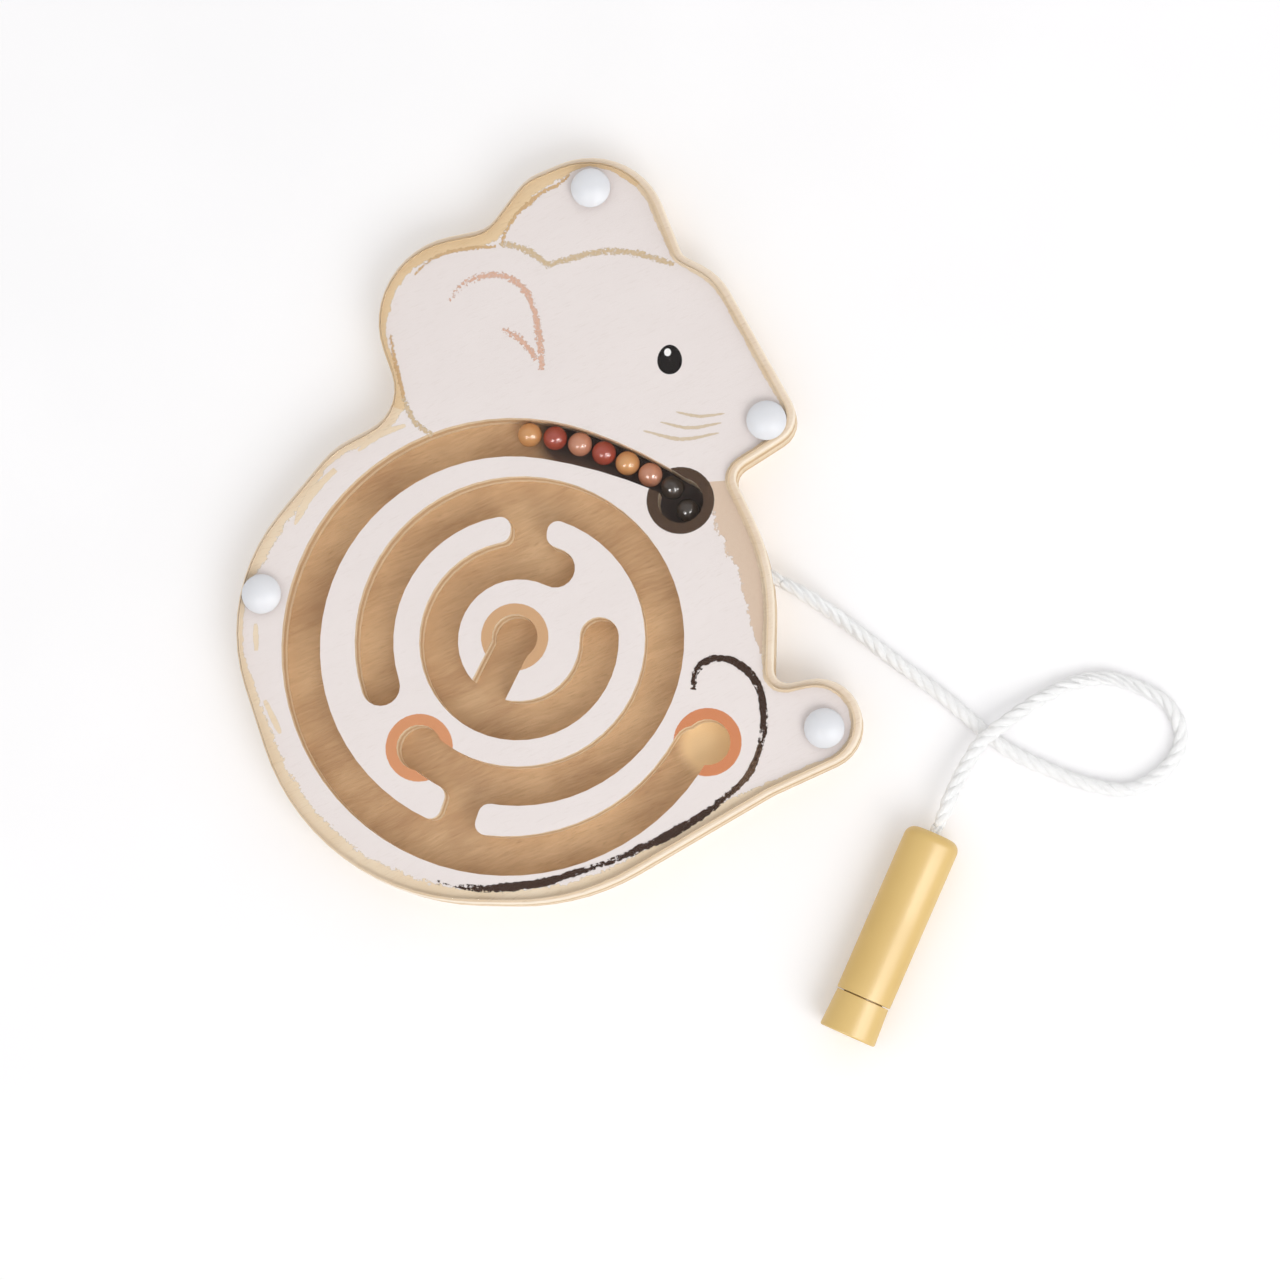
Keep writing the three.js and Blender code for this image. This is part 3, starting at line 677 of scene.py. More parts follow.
@dataclass(frozen=True)
class PrintFinish:
    """Pale print on the board's top, with coloured spots round the pockets.

    Attributes:
        paper: Pale ink.
        grain: Pale ink over the dark wood.
        cover: How fully the ink hides the wood's figure.
        speck: Colour of the specks in the spots.
        speck_share: How much of that colour shows.
        scale: Fine unevenness, in waves a metre.
        bump: Depth of the surface's unevenness.
    """

    paper: Colour = srgb(235, 226, 223)
    grain: Colour = srgb(228, 218, 215)
    cover: float = 0.55
    speck: Colour = srgb(205, 165, 120)
    speck_share: float = 0.06
    scale: float = 2400.0
    bump: float = 0.012 * MM

    def build(self, effects: SurfaceEffects) -> Material:
        """Make the material.

        Args:
            effects: Shared node groups.

        Returns:
            The material.
        """
        material, sheet, shader = new_finish("pale print", Roughness=0.5, Specular_IOR_Level=0.12)
        place = sheet.place()
        fine = sheet.use(effects.mottle, Place=place, Scale=self.scale)["Fine"]
        face = sheet.use(effects.veneer, Place=place, Turn=GRAIN_TURN, Light=self.paper, Dark=self.grain)
        colour = sheet.blend(self.cover, face["Color"], self.paper)
        for spot in SPOTS:
            lighter = sheet.blend(self.speck_share, spot.colour, self.speck)
            ink = sheet.blend(fine, spot.colour, lighter)
            colour = sheet.blend(spot.mask(sheet, effects, place), colour, ink)
        height = sheet.math("ADD", face["Height"], sheet.math("MULTIPLY", fine, 0.5))
        sheet.fill(shader, Base_Color=colour, Normal=sheet.bump(height, self.bump))
        return material


@dataclass(frozen=True)
class StrokeFinish:
    """A stroke of crayon or ink on the print.

    Attributes:
        name: The material's name.
        colour: Ink.
        second: Lighter ink that shows in patches.
        density: How fully the stroke covers.
        tooth: Grain of the stroke, in waves a metre.
        brush: Share of bristle lanes in place of paper tooth.
        wood: Whether the stroke is a gap in the print that shows the veneer.
        clear_of_start: Whether the spot round the start pocket stays free of it.
        patches: Size of the patches, in waves a metre.
        patch_share: How much of the lighter ink a patch shows.
    """

    name: str
    colour: Colour
    second: Colour
    density: float
    tooth: float = 1000.0
    brush: float = 0.0
    wood: bool = False
    clear_of_start: bool = False
    patches: float = 1500.0
    patch_share: float = 0.6

    def build(self, effects: SurfaceEffects) -> Material:
        """Make the material.

        Args:
            effects: Shared node groups.

        Returns:
            The material.
        """
        material, sheet, shader = new_finish(self.name, Roughness=0.55, Specular_IOR_Level=0.05)
        place = sheet.place()
        known = {label: sheet.attribute(label.lower()) for label in ("Along", "Across", "Inside", "Load")}
        cover = sheet.use(
            effects.crayon, Place=place, Density=self.density, Tooth=self.tooth, Brush=self.brush, **known
        )["Mask"]
        if self.wood:
            tones = {"Light": self.colour, "Dark": self.second}
            colour = sheet.use(effects.veneer, Place=place, Turn=GRAIN_TURN, **tones)["Color"]
        else:
            fine = sheet.use(effects.mottle, Place=place, Scale=self.patches)["Fine"]
            colour = sheet.blend(sheet.math("MULTIPLY", fine, self.patch_share), self.colour, self.second)
        if self.clear_of_start:
            spot = START_SPOT.mask(sheet, effects, place)
            cover = sheet.math("MULTIPLY", cover, sheet.math("SUBTRACT", 1.0, spot))
        sheet.fill(shader, Base_Color=colour, Alpha=cover)
        return material


@dataclass(frozen=True)
class GlossFinish:
    """Paint or moulded plastic with a slightly uneven gloss.

    Attributes:
        name: The material's name.
        colour: Main colour.
        second: Colour of the slow unevenness.
        rough_low: Roughness of the smoothest places.
        rough_high: Roughness of the dullest places.
        scale: Fine unevenness, in waves a metre.
        depth: Depth of the fine bump.
        soft: Weight of the light that passes under the surface.
    """

    name: str
    colour: Colour
    second: Colour
    rough_low: float
    rough_high: float
    scale: float
    depth: float = 0.004 * MM
    soft: float = 0.0

    def build(self, effects: SurfaceEffects) -> Material:
        """Make the material.

        Args:
            effects: Shared node groups.

        Returns:
            The material.
        """
        material, sheet, shader = new_finish(
            self.name, Subsurface_Weight=self.soft, Subsurface_Radius=(1.0, 0.9, 0.8),
            Subsurface_Scale=1.2 * MM,
        )
        mottle = sheet.use(effects.mottle, Place=sheet.place(), Scale=self.scale)
        spread = self.rough_high - self.rough_low
        sheet.fill(
            shader,
            Base_Color=sheet.blend(mottle["Slow"], self.colour, self.second),
            Roughness=sheet.math("MULTIPLY_ADD", mottle["Slow"], spread, self.rough_low),
            Normal=sheet.bump(mottle["Fine"], self.depth),
        )
        return material


@dataclass(frozen=True)
class AcrylicFinish:
    """Clear acrylic that lets lamp light through to the board, with an opaque tan edge that paints a shadow
    line round the sheet.

    Attributes:
        gleam: Strength of its reflections.
        cut: Colour of the cut edge: frosted by the saw, and darkened into a painted shadow line.
        cut_scale: Unevenness of that edge, in waves a metre.
    """

    gleam: Colour = (0.16, 0.16, 0.16, 1.0)
    cut: Colour = srgb(172, 146, 118)
    cut_scale: float = 2200.0

    def build(self) -> Material:
        """Make the material of the sheet.

        Returns:
            The material.
        """
        material, sheet, shader = new_finish(
            "clear acrylic", Base_Color=WHITE, Roughness=0.015, IOR=1.49, Transmission_Weight=1.0,
            Specular_Tint=self.gleam,
        )
        output = material.node_tree.nodes["Material Output"]
        rays = sheet.add("ShaderNodeLightPath").outputs
        straight = sheet.math("MAXIMUM", rays["Is Shadow Ray"], rays["Is Diffuse Ray"])
        clear = sheet.add("ShaderNodeBsdfTransparent")
        mixed = sheet.add("ShaderNodeMixShader", {0: straight, 1: shader.outputs[0], 2: clear.outputs[0]})
        sheet.fill(output, Surface=mixed.outputs[0])
        return material

    def edge(self, effects: SurfaceEffects) -> Material:
        """Make the material of the cut edge, whose tan colour is a painted shadow line.

        Args:
            effects: Shared node groups.

        Returns:
            The material.
        """
        # Painted shade: the opaque tan edge draws a dark line round the sheet.
        material, sheet, shader = new_finish("acrylic edge with painted shade line", Base_Color=self.cut)
        fine = sheet.use(effects.mottle, Place=sheet.place(), Scale=self.cut_scale)["Fine"]
        sheet.fill(shader, Roughness=sheet.math("MULTIPLY_ADD", fine, 0.2, 0.25))
        return material


@dataclass(frozen=True)
class CottonFinish:
    """White twisted cotton, with yarns that show as fine ridges along each strand, painted shade between the
    yarns and a weak painted glow.

    Attributes:
        colour: Raised fibres.
        fold: Painted shade on the fibres between the yarns.
        fold_step: Heights between which the painted shade of a fold turns into raised fibres.
        yarns: Number of yarns round a strand.
        turns: Turns of the yarns in a metre.
        yarn_share: Share of the yarns in the ridges; loose fluff makes up the rest.
        fluff: Size of that fluff, in waves a metre.
        bump: Depth of the ridges.
    """

    colour: Colour = srgb(254, 254, 254)
    fold: Colour = srgb(250, 249, 248)
    fold_step: Point = (-0.1, 0.55)
    yarns: float = 7.0
    turns: float = 0.55 / MM
    yarn_share: float = 0.25
    fluff: float = 6000.0
    bump: float = 0.09 * MM

    def build(self, effects: SurfaceEffects) -> Material:
        """Make the material.

        Args:
            effects: Shared node groups.

        Returns:
            The material.
        """
        # The weak emission is a painted glow that lifts the white cord, though it is no lamp.
        material, sheet, shader = new_finish(
            "white cotton", Roughness=0.95, Sheen_Weight=0.3, Sheen_Roughness=0.6, Emission_Strength=0.05
        )
        around = sheet.math("MULTIPLY", sheet.attribute("around"), self.yarns)
        twist = sheet.math("ADD", around, sheet.math("MULTIPLY", sheet.attribute("along"), self.turns))
        yarn = sheet.math("SINE", sheet.math("MULTIPLY", twist, math.tau))
        fine = sheet.use(effects.mottle, Place=sheet.place(), Scale=self.fluff)["Fine"]
        loose = sheet.math("MULTIPLY", fine, 1 - self.yarn_share)
        ridge = sheet.math("MULTIPLY_ADD", yarn, self.yarn_share, loose)
        # Painted shade: the fibres between the yarns are a little darker.
        colour = sheet.blend(sheet.step(ridge, *self.fold_step), self.fold, self.colour)
        sheet.fill(shader, Base_Color=colour, Normal=sheet.bump(ridge, self.bump))
        return material


@dataclass(frozen=True)
class NickelFinish:
    """Bright plating of the magnet.

    Attributes:
        colour: The metal.
        scale: Fine unevenness, in waves a metre.
    """

    colour: Colour = srgb(196, 196, 198)
    scale: float = 1800.0

    def build(self, effects: SurfaceEffects) -> Material:
        """Make the material.

        Args:
            effects: Shared node groups.

        Returns:
            The material.
        """
        material, sheet, shader = new_finish("nickel", Base_Color=self.colour, Metallic=1.0)
        slow = sheet.use(effects.mottle, Place=sheet.place(), Scale=self.scale)["Slow"]
        sheet.fill(shader, Roughness=sheet.math("MULTIPLY_ADD", slow, 0.15, 0.2))
        return material


def dress(mesh: Mesh, material: Material) -> None:
    """Give a mesh one finish in place of any that it has."""
    mesh.materials.clear()
    mesh.materials.append(material)


def put(mesh: Mesh, material: Material) -> Piece:
    """Put a mesh in the scene as a piece of the same name.

    Args:
        mesh: The piece's shape.
        material: Its finish.

    Returns:
        The piece.
    """
    dress(mesh, material)
    piece = bpy.data.objects.new(mesh.name, mesh)
    bpy.context.scene.collection.objects.link(piece)
    return piece


def keep(piece: Piece, body: str, slot: Slot, *nodes: str) -> Piece:
    """Tie a piece to the frame.

    Args:
        piece: The piece.
        body: The body that it rides on.
        slot: Its material slot in the record; not used.
        nodes: The solids that it stands for.

    Returns:
        The piece.
    """
    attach(piece, body)
    if nodes:
        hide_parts(*nodes)
    LOG.info("%s on %s", piece.name, body)
    return piece


def smooth_mesh(name: str, points: list[Vector], faces: list[tuple[int, ...]]) -> Mesh:
    """Make a mesh that is shaded smooth.

    Args:
        name: Its name.
        points: Its points.
        faces: Numbers of the points round each face.

    Returns:
        The mesh.
    """
    mesh = bpy.data.meshes.new(name)
    mesh.from_pydata(points, [], faces)
    mesh.shade_smooth()
    return mesh


def hold(mesh: Mesh, columns: dict[str, list[float]]) -> None:
    """Store named values at the points of a mesh."""
    for label, values in columns.items():
        mesh.attributes.new(label, "FLOAT", "POINT").data.foreach_set("value", values)


def lathe(name: str, profile: list[Point], sides: int, where: Matrix, ring: bool = False) -> Mesh:
    """Turn a profile about the Z axis of a place.

    Args:
        name: The mesh's name.
        profile: Radius and height of each point; a radius of 0 lies on the axis.
        sides: Number of sides.
        where: The place of the axis.
        ring: Whether the profile closes on itself.

    Returns:
        The mesh.
    """
    points: list[Vector] = []
    rows: list[list[int]] = []
    for radius, height in profile:
        count = sides if radius > 0 else 1
        rows.append(list(range(len(points), len(points) + count)))
        for i in range(count):
            angle = math.tau * i / sides
            points.append(where @ Vector((radius * math.cos(angle), radius * math.sin(angle), height)))
    pairs = list(zip(rows, rows[1:]))
    if ring:
        pairs.append((rows[-1], rows[0]))
    faces: list[tuple[int, ...]] = []
    for low, high in pairs:
        for i in range(sides):
            j = (i + 1) % sides
            corners = [low[i % len(low)], low[j % len(low)], high[j % len(high)], high[i % len(high)]]
            faces.append(tuple(dict.fromkeys(corners)))
    mesh = smooth_mesh(name, points, [face for face in faces if len(face) > 2])
    made = bmesh.new()
    made.from_mesh(mesh)
    bmesh.ops.recalc_face_normals(made, faces=made.faces)
    made.to_mesh(mesh)
    made.free()
    mesh.set_sharp_from_angle(angle=LATHE_TURN)
    return mesh


def arc(centre: Point, radius: float, start: float, end: float, steps: int) -> list[Point]:
    """Return points on an arc of a profile.

    Args:
        centre: Centre of the arc.
        radius: Radius of the arc.
        start: First angle, in degrees.
        end: Last angle, in degrees.
        steps: Number of stretches.

    Returns:
        The points, both ends among them.
    """
    angles = (math.radians(start + (end - start) * i / steps) for i in range(steps + 1))
    return [(centre[0] + radius * math.cos(a), centre[1] + radius * math.sin(a)) for a in angles]


def welded(node: Piece) -> Editable:
    """Copy a solid into an editable mesh with its split corners joined and its flat faces merged.

    Args:
        node: The solid.

    Returns:
        The editable mesh.
    """
    made = bmesh.new()
    made.from_mesh(node.data)
    bmesh.ops.remove_doubles(made, verts=made.verts, dist=WELD)
    bmesh.ops.dissolve_limit(made, angle_limit=FLAT_TURN, verts=made.verts, edges=made.edges)
    return made


def soften(made: Editable, width: float) -> None:
    """Round the sharp edges of a mesh.

    Args:
        made: The mesh to change.
        width: Width of the rounding.
    """
    sharp = [e for e in made.edges if e.is_manifold and e.calc_face_angle(0.0) > EDGE_TURN]
    bmesh.ops.bevel(
        made, geom=sharp, offset=width, offset_type="OFFSET", segments=2, profile=0.5, affect="EDGES",
        clamp_overlap=True,
    )


def finish_mesh(made: Editable, name: str) -> Mesh:
    """Turn an editable mesh into a named one, smooth but for its sharp edges.

    Args:
        made: The editable mesh, which is freed.
        name: The new mesh's name.

    Returns:
        The new mesh.
    """
    mesh = bpy.data.meshes.new(name)
    made.to_mesh(mesh)
    made.free()
    mesh.shade_smooth()
    mesh.set_sharp_from_angle(angle=SHARP_TURN)
    return mesh


def even_shading(piece: Piece) -> None:
    """Let wide faces set the shading of the rounded edges next to them."""
    modifier = piece.modifiers.new("even shading", "WEIGHTED_NORMAL")
    modifier.keep_sharp = True


class Outline:
    """The closed outline of the clear cover, from the frame, counterclockwise in metres."""

    def __init__(self, cover: Piece) -> None:
        """Read the longest loop round the cover's underside.

        Args:
            cover: The cover's solid.
        """
        made = welded(cover)
        under = {face for face in made.faces if face.normal.z < -FLAT_RISE}
        rim = [edge for edge in made.edges if sum(face in under for face in edge.link_faces) == 1]
        near: dict[bmesh.types.BMVert, list[bmesh.types.BMVert]] = {}
        for edge in rim:
            first, second = edge.verts
            near.setdefault(first, []).append(second)
            near.setdefault(second, []).append(first)
        loops = []
        left = set(near)
        while left:
            loop = [min(left, key=lambda vert: vert.index)]
            while True:
                left.discard(loop[-1])
                onward = [vert for vert in near[loop[-1]] if vert in left]
                if not onward:
                    break
                loop.append(onward[0])
            loops.append([Vector((vert.co.x, vert.co.y)) for vert in loop])
        made.free()
        points = max(loops, key=lambda loop: sum((q - p).length for p, q in zip(loop, loop[1:])))
        twice = sum(p.x * q.y - q.x * p.y for p, q in zip(points, points[1:] + points[:1]))
        self.points = points if twice > 0 else points[::-1]

    def even(self, step: float) -> list[Vector]:
        """Walk all round at about even steps.

        Args:
            step: Length of a step.

        Returns:
            The points.
        """
        result = []
        for p, q in zip(self.points, self.points[1:] + self.points[:1]):
            count = max(1, round((q - p).length / step))
            result.extend(p.lerp(q, i / count) for i in range(count))
        return result


@dataclass(frozen=True)
class Stroke:
    """One stroke of the print.

    Attributes:
        name: The piece's name.
        finish: Its ink.
        points: Places along it, in millimetres on the board's top.
        width: Width at its widest, in millimetres.
        start: Share of the width at its start.
        end: Share of the width at its end.
        start_ink: How much ink the stroke holds at its start.
        end_ink: How much ink it holds at its end.
    """

    name: str
    finish: StrokeFinish
    points: tuple[Point, ...]
    width: float
    start: float = 0.5
    end: float = 0.5
    start_ink: float = 1.0
    end_ink: float = 1.0

    RISE = 0.3
    FALL = 0.4

    def load(self, share: float) -> float:
        """Tell how much ink is left.

        Args:
            share: Share of the stroke's length.

        Returns:
            Share of the full ink.
        """
        rise = min(1.0, share / self.RISE)
        fall = min(1.0, (1 - share) / self.FALL)
        return (self.start_ink + (1 - self.start_ink) * rise) * (self.end_ink + (1 - self.end_ink) * fall)


TAN_CRAYON = StrokeFinish("tan crayon", srgb(203, 178, 143), srgb(219, 200, 174), density=0.84, tooth=1250.0)
BAND_EDGE = StrokeFinish("tan edge", srgb(205, 168, 124), srgb(216, 186, 148), density=0.85, tooth=1250.0)
FINE_TAN = StrokeFinish("fine tan line", srgb(208, 188, 160), srgb(222, 206, 186), density=1.5)
BLUSH_CRAYON = StrokeFinish(
    "blush crayon", srgb(214, 170, 147), srgb(226, 194, 176),
    density=0.82, tooth=1250.0,
)
BROWN_INK = StrokeFinish(
    "brown ink", srgb(56, 39, 31), srgb(72, 52, 42),
    density=1.05, tooth=900.0, brush=0.45,
)
WORN_INK = StrokeFinish(
    "worn brown ink", srgb(86, 64, 49), srgb(114, 90, 69),
    density=1.0, tooth=900.0, brush=0.45,
)
EYE_INK = StrokeFinish("black ink", srgb(24, 20, 19), srgb(30, 25, 24), density=6.0)
GLINT_INK = StrokeFinish("white ink", srgb(246, 244, 242), srgb(240, 238, 236), density=6.0)
EAR_GAP = StrokeFinish(
    "bare birch of the ears", srgb(235, 210, 173), srgb(224, 195, 154),
    density=2.6, tooth=700.0, wood=True,
)
BARE_GAP = StrokeFinish(
    "bare birch", srgb(238, 221, 196), srgb(229, 206, 175),
    density=2.2, tooth=700.0, wood=True,
)
CHEST_WASH = StrokeFinish(
    "tan wash", srgb(219, 196, 175), srgb(213, 188, 166),
    density=3.6, tooth=700.0, clear_of_start=True,
)

# Strokes of the print, lowest first
STROKES = (
    Stroke("print_ear_line_left", TAN_CRAYON, width=2.4, start=0.7, end=0.8, start_ink=0.8, points=(
        (-5.4, 99.0), (-2.6, 98.7), (2.4, 96.9), (6.8, 93.4),
    )),
    Stroke("print_ear_line_right", TAN_CRAYON, width=2.3, start=0.9, end=0.7, points=(
        (6.2, 93.3), (12.3, 94.9), (21.0, 96.6), (29.7, 95.7), (38.2, 93.0),
    )),
    Stroke("print_ear_edge_front", BAND_EDGE, width=1.5, start=0.6, end=0.7, start_ink=0.7, points=(
        (12.3, 116.2), (9.0, 113.5), (5.6, 112.0), (2.3, 109.3), (-0.9, 106.4), (-3.4, 102.6),
        (-4.6, 99.3),
    )),
    Stroke("print_ear_edge_back", BAND_EDGE, width=1.4, start=0.7, end=0.5, end_ink=0.6, points=(
        (-6.1, 98.4), (-10.1, 98.2), (-14.4, 97.8), (-18.1, 97.1), (-21.4, 95.9), (-24.4, 93.7),
        (-26.6, 91.4),
    )),
    Stroke("print_ear_edge_left", BAND_EDGE, width=1.6, start=0.5, end=0.8, start_ink=0.6, points=(
        (-32.3, 76.6), (-31.7, 72.8), (-30.5, 67.5), (-29.2, 62.2), (-28.6, 59.7),
    )),
    Stroke("print_ear_fold", BLUSH_CRAYON, width=2.5, start=0.6, end=0.9, start_ink=0.35, points=(
        (-17.9, 84.6), (-14.6, 88.7), (-11.3, 90.4), (-7.1, 91.2), (-2.6, 90.3), (1.1, 87.2),
        (3.4, 82.3), (4.7, 75.9), (5.4, 69.6), (5.3, 67.0),
    )),
    Stroke("print_ear_fold_short", BLUSH_CRAYON, width=2.4, start=0.7, end=0.8, start_ink=0.6, points=(
        (-4.4, 77.6), (-0.1, 75.0), (2.2, 72.4), (4.0, 69.6),
    )),
    Stroke("print_neck_line", TAN_CRAYON, width=1.9, start=0.8, end=0.8, start_ink=0.8, points=(
        (-28.9, 60.6), (-26.1, 54.6), (-21.6, 51.2),
    )),
    Stroke("print_whisker_upper", FINE_TAN, width=0.95, start=0.2, end=0.2, points=(
        (38.6, 56.0), (44.5, 54.8), (50.6, 55.4),
    )),
    Stroke("print_whisker_middle", FINE_TAN, width=1.1, start=0.2, end=0.2, points=(
        (34.8, 53.5), (42.0, 52.0), (49.8, 53.1),
    )),
    Stroke("print_whisker_lower", FINE_TAN, width=1.1, start=0.2, end=0.2, points=(
        (30.6, 51.4), (40.1, 49.2), (49.2, 50.6),
    )),
    Stroke("print_back_gap_1", BARE_GAP, width=2.4, start=0.2, end=0.6, points=(
        (-55.8, 29.3), (-52.2, 36.4), (-45.8, 43.0),
    )),
    Stroke("print_back_gap_2", BARE_GAP, width=1.6, start=0.5, end=0.7, points=(
        (-65.3, 4.8), (-65.0, -1.9),
    )),
    Stroke("print_back_gap_3", BARE_GAP, width=1.8, start=0.5, end=0.4, points=(
        (-62.8, -14.2), (-58.8, -22.4),
    )),
    Stroke("print_neck_gap", BARE_GAP, width=1.8, start=0.3, end=0.5, points=(
        (-40.2, 47.6), (-34.6, 51.6), (-28.4, 53.8),
    )),
    Stroke("print_tail_worn", WORN_INK, width=2.3, start=0.8, end=0.8, start_ink=0.8, end_ink=0.8, points=(
        (59.3, -25.4), (58.2, -29.1), (56.0, -33.4), (53.3, -36.6), (49.2, -39.9),
    )),
    Stroke("print_tail_curl", BROWN_INK, width=2.9, start=0.7, end=0.8, start_ink=0.6, end_ink=0.3, points=(
        (42.7, -12.6), (43.4, -8.2), (45.9, -5.8), (49.3, -4.9), (52.9, -5.9), (56.6, -8.8),
        (59.0, -12.8), (59.9, -18.1), (59.7, -23.7), (58.2, -29.1), (56.8, -31.9),
    )),
    Stroke("print_tail_run", BROWN_INK, width=2.9, start=0.7, end=0.6, start_ink=0.35, end_ink=0.55, points=(
        (54.0, -35.8), (49.7, -39.5), (44.3, -43.6), (39.5, -46.4), (34.6, -49.1), (29.7, -51.2),
        (24.9, -53.4), (20.0, -55.3),
    )),
    Stroke("print_tail_end", BROWN_INK, width=2.8, start=0.6, end=0.5, start_ink=0.55, end_ink=0.3, points=(
        (23.0, -54.2), (13.9, -56.9), (7.8, -58.9), (0.5, -60.0), (-6.8, -60.7), (-14.2, -60.2),
        (-20.0, -59.0),
    )),
)

# Place beside the outline and width of the band there, in millimetres, counterclockwise
EAR_BAND = (
    (30.0, 114.0, 1.1), (17.6, 121.0, 0.8), (8.0, 117.5, 2.2), (0.0, 111.5, 3.6), (-5.5, 104.0, 3.3),
    (-8.5, 99.0, 3.0), (-19.0, 101.0, 2.7), (-28.5, 95.0, 2.3), (-34.0, 84.0, 1.9), (-34.6, 76.0, 1.0),
    (-32.0, 66.0, 1.2), (-31.0, 58.0, 2.6),
)

BARE_BAND = (
    (-31.0, 58.0, 2.6), (-37.0, 52.5, 2.2), (-47.0, 45.0, 1.2), (-56.0, 33.0, 2.3), (-63.0, 22.0, 2.9),
    (-67.0, 14.0, 1.2), (-69.5, 0.0, 1.1), (-68.0, -15.0, 2.0), (-61.0, -32.0, 3.2), (-50.0, -46.0, 3.4),
    (-35.0, -57.0, 3.2), (-15.0, -63.0, 2.5), (10.0, -64.0, 2.7), (35.0, -55.5, 2.3), (52.0, -43.5, 2.6),
    (64.0, -35.0, 1.3), (76.0, -31.0, 0.7), (83.0, -22.0, 0.7), (73.0, -10.5, 0.5), (65.0, -9.5, 0.7),
    (62.5, -3.0, 0.8), (62.5, 15.0, 0.8), (55.5, 35.0, 0.6), (57.0, 45.0, 0.5), (66.5, 58.0, 0.7),
    (60.0, 67.0, 0.8), (50.0, 83.0, 0.7), (42.0, 94.5, 0.8), (30.0, 114.0, 1.1),
)

CHEST_BAND = (
    (62.5, -4.0, 1.2), (63.0, 3.0, 3.5), (63.2, 9.0, 4.6), (62.4, 16.0, 5.7), (60.4, 25.0, 6.3),
    (57.0, 32.0, 6.5), (54.0, 38.8, 5.8),
)


